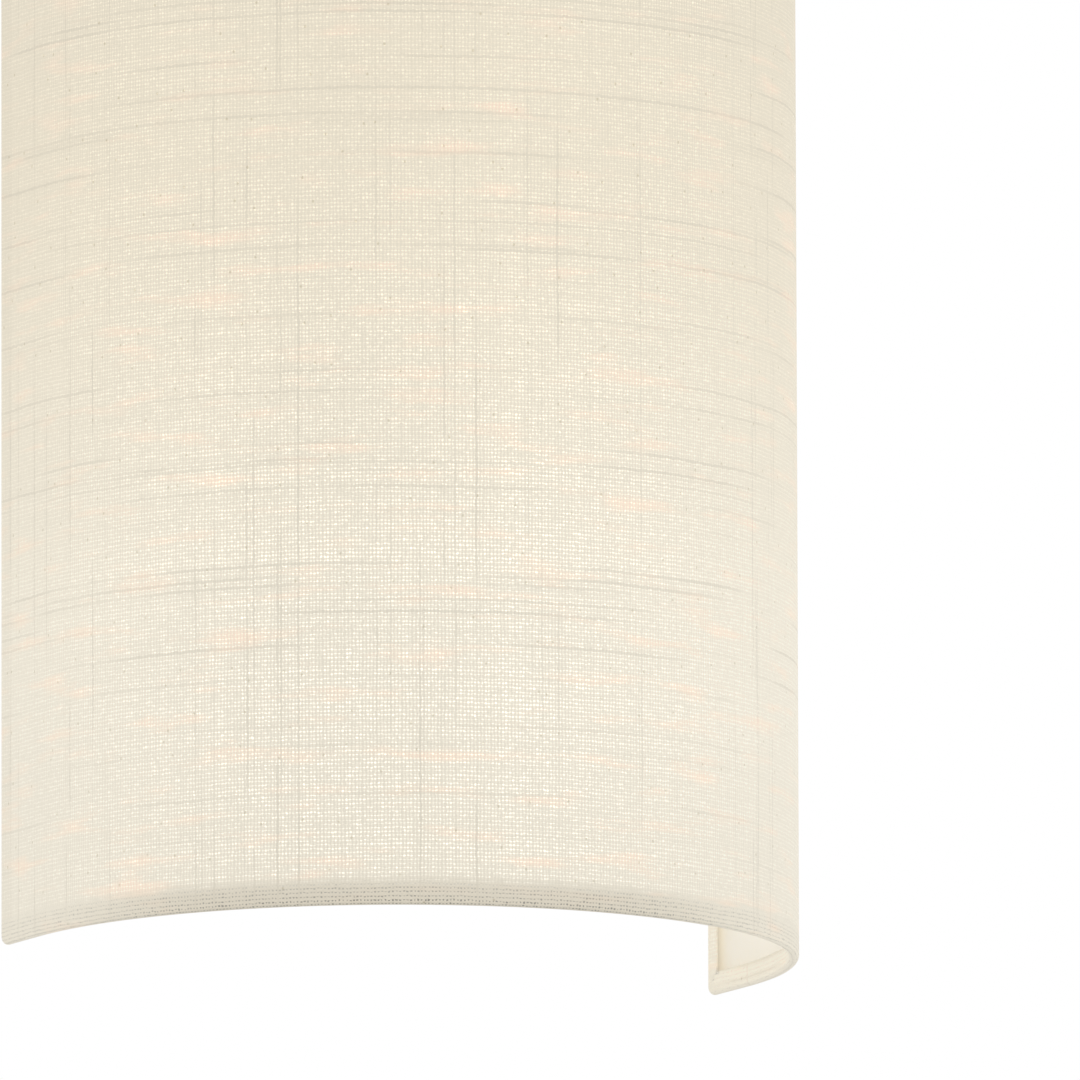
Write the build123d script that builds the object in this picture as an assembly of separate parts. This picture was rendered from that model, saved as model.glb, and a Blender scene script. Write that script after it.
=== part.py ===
from build123d import *
from math import sqrt
import os

# Half-round fabric shade wall light, in millimetres.
# The origin is on the wall, at the centre of the mounting strap. X runs along the wall, +Z is up,
# and the light stands out from the wall towards -Y. The wall is the plane Y = 0.

# ---- Shade ----
shade_width = 200.0
shade_height = 300.0
return_depth = 19.0  # straight sides, from the back edge to where the round front begins
wall_gap = 1.0  # back edge of the shade to the wall
fabric_t = 0.3
liner_t = 0.3
glue_gap = 0.05
rim_wire_d = 1.5
hem_height = 5.5  # how far the linen is turned in over the wires
corner_bend = 1.0  # bend of the rim wires at the four back corners
cross_wire_d = 2.5
cross_bend = 5.0
cross_lap = 0.5  # how far a cross wire passes the upright that it is welded to
notch_gap = 0.35  # room round a cross wire where the hem is notched for it
notch_spare = 3.0  # how far a notch passes the turned-in hem

# ---- Wall unit ----
canopy_width = 100.0
canopy_height = 160.0
canopy_depth = 20.0
canopy_wall = 1.0
canopy_corner = 12.0
canopy_edge = 3.0
strap_width = 40.0
strap_t = 1.5
strap_bend = 2.5
strap_clearance = 0.3  # strap tabs to the canopy's walls
tab_width = 20.0
tab_depth = 15.0
slot_spacing = 60.0
slot_width = 4.5
slot_length = 12.0
cable_hole_d = 22.0
canopy_screw_d = 4.0
screw_play = 0.2  # round the screw in the canopy's hole
screw_head_d = 8.0
screw_head_t = 2.6
screw_head_edge = 1.4
screw_slot = 1.0
screw_length = 9.0
thread_gap = 0.05  # between a thread and what it screws into

# ---- Hooks for the cross wires ----
upper_hook_z = 72.0  # height of the upper cross wire
lower_hook_z = -60.0
hook_inset = 14.0  # middle of a hook to the canopy's side
hook_width = 12.0
hook_t = 1.5
hook_bend = 1.0
hook_leg = 15.0
hook_lip = 3.0  # how far the lip stands above the wire's axis
seat_gap = 0.3
rivet_d = 3.2
rivet_head_d = 6.4
rivet_head_t = 1.2
rivet_head_edge = 0.8
rivet_tail_d = 5.1

# ---- Lampholder and its arm ----
lamp_reach = 60.0  # wall to the lamp's axis
arm_z = 50.0  # top of the arm
arm_t = 2.0
arm_width = 22.0
arm_bend = 5.0
arm_leg = 34.0
arm_nose = 13.0  # lamp axis to the arm's rounded end
arm_rivet_drop = 13.0
arm_rivet_pitch = 14.0
nipple_d = 10.0
nipple_bore_d = 7.4
nipple_below = 9.0  # length inside the holder's neck
nipple_above = 1.5  # length past the nut
nut_across = 14.0
nut_t = 4.0
washer_d = 17.0
washer_t = 0.8
washer_teeth = 12
washer_play = 0.3
tooth_gap = 1.6  # width and depth of the cut between two teeth
holder_neck_r = 10.0
holder_neck = 6.0
holder_r = 20.0
holder_cap_h = 30.0
holder_wall = 2.2
holder_shoulder = 16.0
dome_slope = 0.35  # fall of the cap's dome where it leaves the neck
cap_ledge = 1.6  # step inside the cap that the core's flange seats on
cap_ribs = 18
rib_depth = 0.7
rib_width = 1.6
rib_margin = 1.0
skirt_h = 28.0
skirt_mouth_r = 18.6
skirt_collar = 3.0
skirt_bevel = 0.6
spigot_h = 6.0
spigot_gap = 0.15
core_r = 15.0
core_top = 20.0
core_h = 12.0
core_flange_t = 1.7
well_width = 7.0  # hollow under the core for the contact tongue
well_length = 11.0
well_depth = 2.4
shell_r = 13.4  # inside of the threaded shell
shell_t = 0.4
shell_h = 22.0
shell_hole_r = 8.5
shell_flare = 0.6
flare_h = 1.0
post_size = 4.5
post_h = 2.0
post_x = 7.5
post_screw_d = 1.8
post_screw_t = 1.4
tongue_drop = 2.2
tongue_width = 5.0
tongue_t = 0.5
tongue_rise = 1.2  # fixed end above the shell's closed end
tongue_line = (4.6, -1.5, -3.6, 3.0)  # fixed end, kink, heel and free end, out from the lamp's axis

# ---- Lamp ----
bulb_gap = 0.3
bulb_cap_h = 24.0
bulb_cap_t = 0.3
bulb_cap_d = 26.2
cap_shoulder = 4.0
cap_rise = 3.0
insulator_h = 3.0  # end of the cap to the tip of the contact
insulator_sunk = 1.8
contact_r = 4.4
contact_t = 0.8
contact_bevel = 1.0
bulb_neck_r = 14.2
bulb_r = 30.0
bulb_length = 107.0
bulb_wall = 1.5
housing_bulge = 1.2
plug_h = 6.0  # part of the housing inside the cap
board_t = 1.5
board_drop = 11.0  # plane where the globe meets the housing, above the globe's centre
board_gap = 0.3
board_hole_r = 2.0
chips = 8
chip_size = 3.0
chip_t = 0.7
chip_ring = 18.0

# ---- Terminals and leads ----
block_width = 30.0
block_height = 17.0
block_depth = 14.0
block_z = -52.0
pole_pitch = 10.0
pole_r = 4.0
pole_bevel = 1.0
tower_r = 2.9
terminal_screw_d = 3.4
terminal_screw_h = 3.0
terminal_slot = 0.6
terminal_slot_depth = 0.7
terminal_screw_play = 0.2
wire_hole_gap = 0.25
wire_hole_depth = 5.0
block_screw_d = 2.5
block_head_d = 3.8
block_head_t = 1.6
lead_d = 2.2
lead_pair = 2.6  # between the two leads in the nipple
lead_rise = 0.7  # the slanted end of a lead clears its post by this
lead_join = 0.5  # below the nipple, where a lead turns out to its post
lead_run_z = 62.0  # height of the leads from nipple to canopy
lead_drop_y = -10.0
spread_start = 18.0  # down from the run, where the two leads part
spread_end = 40.0
lead_bends = [7.5, 8.5, 7.0, 20.0, 25.0]
earth_rise = 12.0
earth_level = 10.0
earth_bends = [14.0, 14.0]
grommet_r = 5.0  # groove radius
grommet_bore_r = 3.6
grommet_lip = 1.5
grommet_lip_t = 1.5
grommet_play = 0.1
grommet_seat = 0.05
stud_z = 10.0
stud_d = 4.0
stud_length = 10.0
earth_nut_across = 7.0
earth_nut_t = 3.2
tag_t = 0.8
tag_r = 4.5
tag_neck = 3.0
tag_waist = 2.5  # between the ring and the crimped barrel
barrel_length = 9.0
barrel_d = 3.6

# ---- Worked out from the values above ----
half_width = shade_width / 2
hem_t = 2 * fabric_t + liner_t + rim_wire_d + 3 * glue_gap
roll_r = hem_t / 2
wire_inset = fabric_t + liner_t + 2 * glue_gap + rim_wire_d / 2
round_y = -(wall_gap + return_depth)
edge_y = -(wall_gap + roll_r)  # axis of the rolled back edges
rim_z = shade_height / 2 - roll_r  # axis of the rolled upper rim; the lower one is at -rim_z
canopy_face = -canopy_depth
canopy_inner = canopy_face + canopy_wall
wire_y = canopy_face - seat_gap - cross_wire_d / 2
cross_leg_x = half_width - wire_inset - rim_wire_d / 2 - glue_gap - cross_wire_d / 2
lamp_y = -lamp_reach
holder_top = arm_z - arm_t
nipple_top = arm_z + washer_t + nut_t + nipple_above
shell_top = holder_top - core_top - core_h
bulb_top = shell_top - tongue_drop - bulb_gap
bulb_bottom = bulb_top - bulb_length
globe_z = bulb_bottom + bulb_r
join_z = globe_z + board_drop
bulb_cap_top = bulb_top - insulator_h
bulb_cap_bottom = bulb_cap_top - bulb_cap_h
hook_side = canopy_width / 2 - hook_inset
block_face = -strap_t - block_depth / 2  # front of the terminal block's base
BOTTOM = (Align.CENTER, Align.CENTER, Align.MIN)  # solids that stand on their plane


def rod(base, direction, radius, length):
    """A round bar that starts at base and runs along direction."""
    return Solid.make_cylinder(radius, length, Plane(origin=base, z_dir=direction))


def tube_along(points, radii, radius):
    """A round bar along straight runs joined by tangent arcs."""
    path = FilletPolyline(*points, radius=radii)
    return sweep(Plane(origin=path @ 0, z_dir=path % 0) * Circle(radius), path)


def bent_strip(points, bend, width, thickness):
    """A flat strip, width along X, whose middle follows the points in the YZ plane."""
    path = FilletPolyline(*[(0, y, z) for y, z in points], radius=bend)
    section = Plane(origin=path @ 0, x_dir=(1, 0, 0), z_dir=path % 0) * Rectangle(width, thickness)
    return sweep(section, path)


def turned(*lines):
    """A piece turned about the lamp's axis from a closed outline in radius and height."""
    return Pos(0, lamp_y, 0) * revolve(make_face(lines), Axis.Z)


def turned_polygon(*points):
    """A piece turned about the lamp's axis from straight-sided points in radius and height."""
    outline = [(r, 0, z) for r, z in points]
    return turned(Polyline(*outline, outline[0]))


def disc(outer, inner, top, bottom):
    """A flat ring about the lamp's axis."""
    return turned_polygon((inner, top), (outer, top), (outer, bottom), (inner, bottom))


def both_sides(piece):
    """A piece and its mirror image about the light's middle plane."""
    return piece + mirror(piece, about=Plane.YZ)


def slot_cutter(z, length, width, depth):
    """An upright slot through a plate that lies against the wall."""
    middle = Pos(0, 0, z) * Box(width, depth, length - width)
    ends = [rod((0, depth / 2, z + s * (length - width) / 2), (0, -1, 0), width / 2, depth) for s in (-1, 1)]
    return middle + ends[0] + ends[1]


# ---- Shade ----


def half_plan(inset, back_y):
    """The shade's half-round plan, inset from its outer face and closed straight at back_y."""
    r = half_width - inset
    sides = Polyline((-r, round_y), (-r, back_y), (r, back_y), (r, round_y))
    return make_face([*sides.edges(), ThreePointArc((r, round_y), (0, round_y - r), (-r, round_y))])


def sheet_layer(inset, thickness):
    """One curved layer of the shade's wall, ending at the axes of its rolled edges."""
    plan = half_plan(inset, 0) - half_plan(inset + thickness, 1)
    wall = Pos(0, 0, -rim_z) * extrude(plan, 2 * rim_z)
    return wall & side_block(0, corner_bend)


def side_block(margin, bend):
    """A block across the whole shade whose side view is the shade's, smaller by margin."""
    deep = shade_width + return_depth
    height = 2 * (rim_z - margin)
    view = Pos(edge_y - margin - deep / 2, 0) * Rectangle(deep, height)
    view = fillet(view.vertices().sort_by(Axis.X)[-2:], bend)
    return extrude(Plane.YZ * view, half_width, both=True)


def rim_path(inset):
    """The lower rim's line in plan, from one back corner to the other."""
    r = half_width - inset
    start = edge_y - corner_bend
    first = Line((r, start, -rim_z), (r, round_y, -rim_z))
    front = ThreePointArc((r, round_y, -rim_z), (0, round_y - r, -rim_z), (-r, round_y, -rim_z))
    last = Line((-r, round_y, -rim_z), (-r, start, -rim_z))
    return Wire([*first.edges(), *front.edges(), *last.edges()])


def corner_axis(inset):
    """The axis that the lower right back corner is bent about."""
    return Axis((half_width - inset, edge_y - corner_bend, -rim_z + corner_bend), (1, 0, 0))


def rim_section(inset, shape):
    """A flat shape at the start of the lower rim, its Y upwards."""
    at = (half_width - inset, edge_y - corner_bend, -rim_z)
    return Plane(origin=at, x_dir=(1, 0, 0), z_dir=(0, -1, 0)) * shape


def rolled_edge():
    """The half-round fold of linen round the rim wires and the uprights."""
    fold = Circle(roll_r) - Circle(roll_r - fabric_t) - Pos(0, roll_r) * Rectangle(hem_t + 1, hem_t)
    section = rim_section(roll_r, fold)
    lower = sweep(section, rim_path(roll_r))
    corner = revolve(section, corner_axis(roll_r), 90)
    upright = extrude(section.rotate(corner_axis(roll_r), 90), rim_z - corner_bend, dir=(0, 0, 1))
    half = lower + both_sides(corner + upright)
    return half + mirror(half, about=Plane.XY)


def notch(side, z):
    """Room for the end of a cross wire in the turned-in hem."""
    wide = cross_wire_d + 2 * notch_gap
    back = edge_y + cross_lap + notch_gap
    deep = hem_height + notch_spare
    return Pos(side * cross_leg_x, back - deep / 2, z) * Box(wide, deep, wide)


def linen_cover():
    """Linen skin, its rolled edges and the band that is turned in and glued down."""
    skin = sheet_layer(0, fabric_t)
    flap = sheet_layer(hem_t - fabric_t, fabric_t) - side_block(hem_height - roll_r, corner_bend)
    cover = skin + rolled_edge() + flap
    for z in (upper_hook_z, lower_hook_z):
        for side in (-1, 1):
            cover -= notch(side, z)
    return cover


def styrene_liner():
    """Backing sheet glued inside the linen."""
    return sheet_layer(fabric_t + glue_gap, liner_t)


def bottom_wire():
    """Rim wire: straight sides, round front and both turned-up ends."""
    section = rim_section(wire_inset, Circle(rim_wire_d / 2))
    corner = revolve(section, corner_axis(wire_inset), 90)
    return sweep(section, rim_path(wire_inset)) + both_sides(corner)


def upright(side):
    """Wire in one back edge, between the ends of the two rim wires."""
    length = 2 * (rim_z - corner_bend)
    return rod((side * (half_width - wire_inset), edge_y, -length / 2), (0, 0, 1), rim_wire_d / 2, length)


def cross_wire(z):
    """Wire across the open back, in front of the canopy, with both ends bent to the uprights."""
    end_y = edge_y + cross_lap
    points = [(x * cross_leg_x, y, z) for x, y in ((-1, end_y), (-1, wire_y), (1, wire_y), (1, end_y))]
    return tube_along(points, cross_bend, cross_wire_d / 2)


# ---- Wall unit ----


def tray(width, height, depth, corner, edge):
    """A solid tray form with its back on the wall and a rounded front edge."""
    form = extrude(Plane.XZ * RectangleRounded(width, height, corner), depth)
    return fillet(form.faces().sort_by(Axis.Y)[0].edges(), edge)


def canopy():
    """Pressed steel tray, open to the wall."""
    inside = 2 * canopy_wall
    shell = tray(canopy_width, canopy_height, canopy_depth, canopy_corner, canopy_edge)
    shell -= tray(
        canopy_width - inside,
        canopy_height - inside,
        canopy_depth - canopy_wall,
        canopy_corner - canopy_wall,
        canopy_edge - canopy_wall,
    )
    for x, z, radius in front_holes():
        shell -= rod((x, canopy_inner + 1, z), (0, -1, 0), radius, canopy_wall + 2)
    for side in (-1, 1):
        at = (0, -tab_depth / 2, side * (canopy_height / 2 - canopy_wall - 1))
        shell -= rod(at, (0, 0, side), canopy_screw_d / 2 + screw_play, canopy_wall + 2)
    return shell


def front_holes():
    """Place and radius of each round hole in the canopy's front."""
    holes = [(0, lead_run_z, grommet_r)]
    holes += [(x, z, rivet_d / 2) for x, z in hook_rivet_places() + arm_rivet_places()]
    return holes


def wall_strap():
    """Steel strap against the wall, its ends bent out to take the canopy's screws."""
    end_z = canopy_height / 2 - canopy_wall - strap_clearance - strap_t / 2
    mid_y = -strap_t / 2
    points = [(-tab_depth, -end_z), (mid_y, -end_z), (mid_y, end_z), (-tab_depth, end_z)]
    strap = bent_strip(points, strap_bend, strap_width, strap_t)
    spare = (strap_width - tab_width) / 2
    for side in (-1, 1):
        for x in (-1, 1):
            corner = Box(spare + 1, canopy_depth, 2 * strap_bend + strap_t)
            corner_x = x * (tab_width + spare + 1) / 2
            strap -= Pos(corner_x, -canopy_depth / 2 - strap_t, side * (end_z - strap_bend)) * corner
        strap -= rod((0, -tab_depth / 2, side * (end_z - strap_t)), (0, 0, side), tapped_r(), 2 * strap_t)
        strap -= slot_cutter(side * slot_spacing / 2, slot_length, slot_width, 3 * strap_t)
    strap -= rod((0, strap_t, 0), (0, -1, 0), cable_hole_d / 2, 3 * strap_t)
    return strap - rod((0, strap_t, block_z), (0, -1, 0), block_screw_r(), 3 * strap_t)


def tapped_r():
    """Radius of the tapped holes in the strap's tabs."""
    return canopy_screw_d / 2 + thread_gap


def block_screw_r():
    """Radius of the terminal block's fixing hole."""
    return block_screw_d / 2 + thread_gap


def canopy_screws():
    """Slotted screws through the canopy's top and bottom walls."""
    head = Cylinder(screw_head_d / 2, screw_head_t, align=BOTTOM)
    head = chamfer(head.faces().sort_by(Axis.Z)[-1].edges(), screw_head_edge)
    head -= Pos(0, 0, screw_head_t) * Box(screw_head_d + 1, screw_slot, screw_head_t)
    shank = rod((0, 0, 0), (0, 0, -1), canopy_screw_d / 2, screw_length)
    top = Pos(0, -tab_depth / 2, canopy_height / 2) * (head + shank)
    return Compound([top, mirror(top, about=Plane.XY)])


def hook(side, z):
    """Bent strip hook: riveted leg, shelf under the wire, and a lip in front of it."""
    mid = hook_t / 2
    shelf_z = z - cross_wire_d / 2 - seat_gap - mid
    leg_y = canopy_face - mid
    lip_y = canopy_face - 2 * seat_gap - cross_wire_d - mid
    points = [(leg_y, shelf_z - hook_leg), (leg_y, shelf_z), (lip_y, shelf_z), (lip_y, z + hook_lip)]
    strip = bent_strip(points, hook_bend, hook_width, hook_t)
    x, rivet_z = side * hook_side, hook_rivet_z(z)
    strip = Pos(x, 0, 0) * strip
    return strip - rod((x, canopy_face + 1, rivet_z), (0, -1, 0), rivet_d / 2, hook_t + 2)


def hook_rivet_z(z):
    """Height of the rivet in the leg of the hook for the cross wire at z."""
    return z - cross_wire_d / 2 - seat_gap - hook_t - hook_leg / 2


def hook_rivet_places():
    """X and Z of each hook's rivet."""
    return [(side * hook_side, hook_rivet_z(z)) for z in (upper_hook_z, lower_hook_z) for side in (-1, 1)]


def arm_rivet_places():
    """X and Z of the two rivets in the arm's leg."""
    first = arm_z - arm_rivet_drop
    return [(0, first), (0, first - arm_rivet_pitch)]


def rivet(x, z, grip):
    """Rivet through the canopy's front and a strip of thickness grip."""
    outer = canopy_face - grip
    head = rod((x, outer, z), (0, -1, 0), rivet_head_d / 2, rivet_head_t)
    head = chamfer(head.faces().sort_by(Axis.Y)[0].edges(), rivet_head_edge)
    shank = rod((x, canopy_inner, z), (0, -1, 0), rivet_d / 2 - thread_gap, canopy_inner - outer)
    tail = rod((x, canopy_inner + rivet_head_t, z), (0, -1, 0), rivet_tail_d / 2, rivet_head_t)
    return head + shank + tail


def lamp_arm():
    """Bent steel arm: leg on the canopy, shelf out to the lamp's axis, rounded ends."""
    mid = arm_t / 2
    leg_y = canopy_face - mid
    tip_y = lamp_y - arm_nose
    points = [(leg_y, arm_z - arm_leg), (leg_y, arm_z - mid), (tip_y, arm_z - mid)]
    arm = bent_strip(points, arm_bend, arm_width, arm_t)
    nose = extrude(Pos(0, tip_y + arm_nose, arm_z - arm_t) * Circle(arm_width / 2), arm_t)
    square = Pos(0, lamp_y - arm_width / 2, arm_z) * Box(arm_width + 1, arm_width, 3 * arm_t)
    arm = (arm - square) + nose
    for x, z in arm_rivet_places():
        arm -= rod((x, canopy_face + 1, z), (0, -1, 0), rivet_d / 2, arm_t + 2)
    return arm - Pos(0, lamp_y, arm_z) * Cylinder(nipple_d / 2 + thread_gap, 3 * arm_t)


# ---- Lampholder ----


def nipple():
    """Hollow threaded tube from the holder's neck up through the arm and the nut."""
    return disc(nipple_d / 2, nipple_bore_d / 2, nipple_top, holder_top - nipple_below)


def nipple_nut():
    """Hexagon lock nut on the nipple, its corners turned off at 30 degrees."""
    blank = extrude(RegularPolygon(nut_across / 2, 6, major_radius=False), nut_t)
    blank &= Cone(nut_across / 2 + nut_t * sqrt(3), nut_across / 2, nut_t, align=BOTTOM)
    blank -= Cylinder(nipple_d / 2 + thread_gap, 3 * nut_t)
    return Pos(0, lamp_y, arm_z + washer_t) * blank


def nipple_washer():
    """Lock washer with outer teeth under the nut."""
    hole = Cylinder(nipple_d / 2 + washer_play, 3 * washer_t)
    ring = Cylinder(washer_d / 2, washer_t, align=BOTTOM) - hole
    gap = Pos(washer_d / 2, 0, 0) * Box(2 * tooth_gap, tooth_gap, 3 * washer_t)
    for turn in range(washer_teeth):
        ring -= Rot(0, 0, turn * 360 / washer_teeth) * gap
    return Pos(0, lamp_y, arm_z) * ring


def holder_cap():
    """Upper half of the lampholder: threaded neck, domed shoulder and ribbed side."""
    top, bottom = holder_top, holder_top - holder_cap_h
    neck, bore = holder_neck_r, nipple_d / 2 + thread_gap
    inner = holder_r - holder_wall
    neck_end = top - holder_neck
    shoulder = top - holder_shoulder
    seat = bottom + spigot_h + core_flange_t
    ledge = inner - cap_ledge
    outline = [
        Polyline((bore, 0, neck_end - holder_wall), (bore, 0, top), (neck, 0, top), (neck, 0, neck_end)),
        TangentArc((neck, 0, neck_end), (holder_r, 0, shoulder), tangent=(1, 0, -dome_slope)),
        Polyline((holder_r, 0, shoulder), (holder_r, 0, bottom), (inner, 0, bottom), (inner, 0, seat)),
        Polyline((inner, 0, seat), (ledge, 0, seat), (ledge, 0, shoulder - holder_wall)),
        Line((ledge, 0, shoulder - holder_wall), (neck, 0, neck_end - holder_wall)),
        Line((neck, 0, neck_end - holder_wall), (bore, 0, neck_end - holder_wall)),
    ]
    cap = turned(*outline)
    rib_h = holder_cap_h - holder_shoulder - 3 * rib_margin
    rib = Box(2 * rib_depth, rib_width, rib_h)
    for turn in range(cap_ribs):
        spoke = Rot(0, 0, (turn + 0.5) * 360 / cap_ribs) * Pos(holder_r, 0, 0)
        cap += Pos(0, lamp_y, bottom + rib_h / 2 + rib_margin) * spoke * rib
    return cap


def holder_skirt():
    """Lower half of the lampholder: spigot that screws into the cap, and a tapered sleeve."""
    top = holder_top - holder_cap_h
    mouth = top - skirt_h
    spigot = holder_r - holder_wall - spigot_gap
    inner = spigot - holder_wall
    lip = skirt_mouth_r - holder_wall
    return turned_polygon(
        (spigot, top + spigot_h),
        (spigot, top),
        (holder_r, top),
        (holder_r, top - skirt_collar),
        (holder_r - skirt_bevel, top - skirt_collar - skirt_bevel),
        (skirt_mouth_r, mouth + skirt_bevel),
        (skirt_mouth_r - skirt_bevel, mouth),
        (lip, mouth),
        (inner, top - skirt_collar),
        (inner, top + spigot_h),
    )


def holder_core():
    """Porcelain core between cap and skirt, with the leads' posts on top."""
    top = holder_top - core_top
    flange_r = holder_r - holder_wall - spigot_gap
    flange_low = holder_top - holder_cap_h + spigot_h
    core = turned_polygon(
        (0, top),
        (core_r, top),
        (core_r, flange_low + core_flange_t),
        (flange_r, flange_low + core_flange_t),
        (flange_r, flange_low),
        (core_r, flange_low),
        (core_r, shell_top),
        (0, shell_top),
    )
    well = Pos(0, lamp_y, shell_top) * Box(well_width, well_length, well_depth)
    return core - well


def holder_shell():
    """Threaded metal shell that takes the lamp's cap, its rim flared."""
    outer = shell_r + shell_t
    low = shell_top - shell_h
    return turned_polygon(
        (shell_hole_r, shell_top),
        (outer, shell_top),
        (outer, low + flare_h),
        (outer + shell_flare, low),
        (shell_r + shell_flare, low),
        (shell_r, low + flare_h),
        (shell_r, shell_top - shell_t),
        (shell_hole_r, shell_top - shell_t),
    )


def holder_contact():
    """Springy brass tongue that meets the lamp's centre contact."""
    foot = shell_top + tongue_rise - tongue_t / 2
    tip = bulb_top + bulb_gap + tongue_t / 2
    points = list(zip(tongue_line, (foot, foot, tip, tip)))
    return Pos(0, lamp_y, 0) * bent_strip(points, tongue_t, tongue_width, tongue_t)


def holder_terminals():
    """Brass blocks on top of the core that hold the ends of the leads, with their screws."""
    top = holder_top - core_top
    pieces = []
    for side in (-1, 1):
        block = Pos(side * post_x, lamp_y, top + post_h / 2) * Box(post_size, post_size, post_h)
        face = (side * post_x, lamp_y - post_size / 2, top + post_h / 2)
        pieces.append(block + rod(face, (0, -1, 0), post_screw_d / 2, post_screw_t))
    return Compound(pieces)


# ---- Lamp ----


def bulb_cap():
    """Metal screw cap of the lamp."""
    outer = bulb_cap_d / 2
    inner = outer - bulb_cap_t
    return turned_polygon(
        (outer - cap_shoulder, bulb_cap_top),
        (outer, bulb_cap_top - cap_rise),
        (outer, bulb_cap_bottom),
        (inner, bulb_cap_bottom),
        (inner, bulb_cap_top - cap_rise - bulb_cap_t / 2),
        (inner - cap_shoulder, bulb_cap_top - bulb_cap_t),
    )


def bulb_insulator():
    """Dark insulating cone between the cap and the centre contact."""
    side = bulb_cap_d / 2 - bulb_cap_t - cap_shoulder
    top, low = bulb_top - contact_t, bulb_cap_top - insulator_sunk
    return turned_polygon((0, top), (contact_r, top), (side, bulb_cap_top), (side, low), (0, low))


def bulb_contact():
    """Centre contact on the insulator."""
    tip_r, low = contact_r - contact_bevel, bulb_top - contact_t
    return turned_polygon((0, bulb_top), (tip_r, bulb_top), (contact_r, low), (0, low))


def bulb_housing():
    """Flared housing between the cap and the globe, hollow for the lamp's electronics."""
    neck_top = bulb_cap_bottom
    rim_r = sqrt(bulb_r**2 - board_drop**2)
    plug_r = bulb_cap_d / 2 - bulb_cap_t - glue_gap
    plug_top = neck_top + plug_h
    middle = (bulb_neck_r + rim_r) / 2 + housing_bulge
    half_z = (neck_top + join_z) / 2
    thin = bulb_wall
    neck_in = bulb_neck_r - thin
    outline = [
        Polyline((0, 0, plug_top), (plug_r, 0, plug_top), (plug_r, 0, neck_top)),
        Line((plug_r, 0, neck_top), (bulb_neck_r, 0, neck_top)),
        ThreePointArc((bulb_neck_r, 0, neck_top), (middle, 0, half_z), (rim_r, 0, join_z)),
        Line((rim_r, 0, join_z), (rim_r - thin, 0, join_z)),
        ThreePointArc((rim_r - thin, 0, join_z), (middle - thin, 0, half_z), (neck_in, 0, neck_top)),
        Line((neck_in, 0, neck_top), (plug_r - thin, 0, neck_top)),
        Polyline((plug_r - thin, 0, neck_top), (plug_r - thin, 0, plug_top - thin), (0, 0, plug_top - thin)),
        Line((0, 0, plug_top - thin), (0, 0, plug_top)),
    ]
    return turned(*outline)


def bulb_globe():
    """Opal globe, most of a sphere, seated on the housing's rim."""
    ball = Sphere(bulb_r) - Sphere(bulb_r - bulb_wall)
    ball -= Pos(0, 0, board_drop + bulb_r) * Box(3 * bulb_r, 3 * bulb_r, 2 * bulb_r)
    return Pos(0, lamp_y, globe_z) * ball


def bulb_board():
    """Aluminium disc with the light sources, at the mouth of the housing."""
    radius = sqrt((bulb_r - bulb_wall) ** 2 - board_drop**2) - board_gap
    top = join_z - board_gap
    board = disc(radius, board_hole_r, top, top - board_t)
    chip = Box(chip_size, chip_size, chip_t, align=BOTTOM)
    for turn in range(chips):
        place = Rot(0, 0, turn * 360 / chips) * Pos(chip_ring, 0, 0)
        board += Pos(0, lamp_y, top - board_t - chip_t) * place * chip
    return board


# ---- Terminals and leads ----


def terminal_block():
    """Three-pole block on the strap: base, three poles with a screw tower at each end, and their holes."""
    base_t = block_depth / 2
    block = Pos(0, block_face + base_t / 2, block_z) * Box(block_width, base_t, block_height)
    pole_front = lead_drop_y - pole_r
    pole = Pos(0, (pole_front - strap_t) / 2, block_z) * Box(2 * pole_r, -pole_front - strap_t, block_height)
    pole = chamfer(pole.faces().sort_by(Axis.Y)[0].edges().filter_by(Axis.Z), pole_bevel)
    for x in (-pole_pitch, 0, pole_pitch):
        block += Pos(x, 0, 0) * pole
        for z in tower_heights():
            block += rod((x, block_face, z), (0, -1, 0), tower_r, block_depth / 2)
    screw_hole = (terminal_screw_d / 2 + terminal_screw_play, block_depth / 2)
    wire_hole = (lead_d / 2 + wire_hole_gap, wire_hole_depth)
    for x in (-pole_pitch, 0, pole_pitch):
        for end, z in zip((-1, 1), tower_heights()):
            block -= rod((x, -strap_t - block_depth, z), (0, 1, 0), *screw_hole)
            block -= rod((x, lead_drop_y, block_z + end * block_height / 2), (0, 0, -end), *wire_hole)
    block -= rod((0, 0, block_z), (0, -1, 0), block_screw_r(), block_depth + strap_t)
    return block - rod((0, block_head_y(), block_z), (0, -1, 0), block_head_d / 2 + thread_gap, block_depth)


def tower_heights():
    """Heights of the two screws in each pole of the block."""
    return [block_z + end * block_height / 4 for end in (-1, 1)]


def block_head_y():
    """Where the fixing screw's head seats in the block."""
    return lead_drop_y - lead_d / 2


def terminal_screws():
    """Six slotted screws in the block's towers."""
    pieces = []
    tip = block_face - terminal_screw_h
    slot = Box(terminal_screw_d + 1, 2 * terminal_slot_depth, terminal_slot)
    for x in (-pole_pitch, 0, pole_pitch):
        for z in tower_heights():
            screw = rod((x, block_face, z), (0, -1, 0), terminal_screw_d / 2, terminal_screw_h)
            pieces.append(screw - Pos(x, tip, z) * slot)
    return Compound(pieces)


def block_screw():
    """Screw that holds the block to the strap."""
    head = rod((0, block_head_y(), block_z), (0, -1, 0), block_head_d / 2, block_head_t)
    return head + rod((0, 0, block_z), (0, -1, 0), block_screw_d / 2, -block_head_y())


def wire_route(name, points, bends):
    """A lead along its route, with its bend radii printed."""
    print(f"{name}: bend radii {bends} mm, diameter {lead_d} mm")
    return tube_along(points, bends, lead_d / 2)


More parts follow.
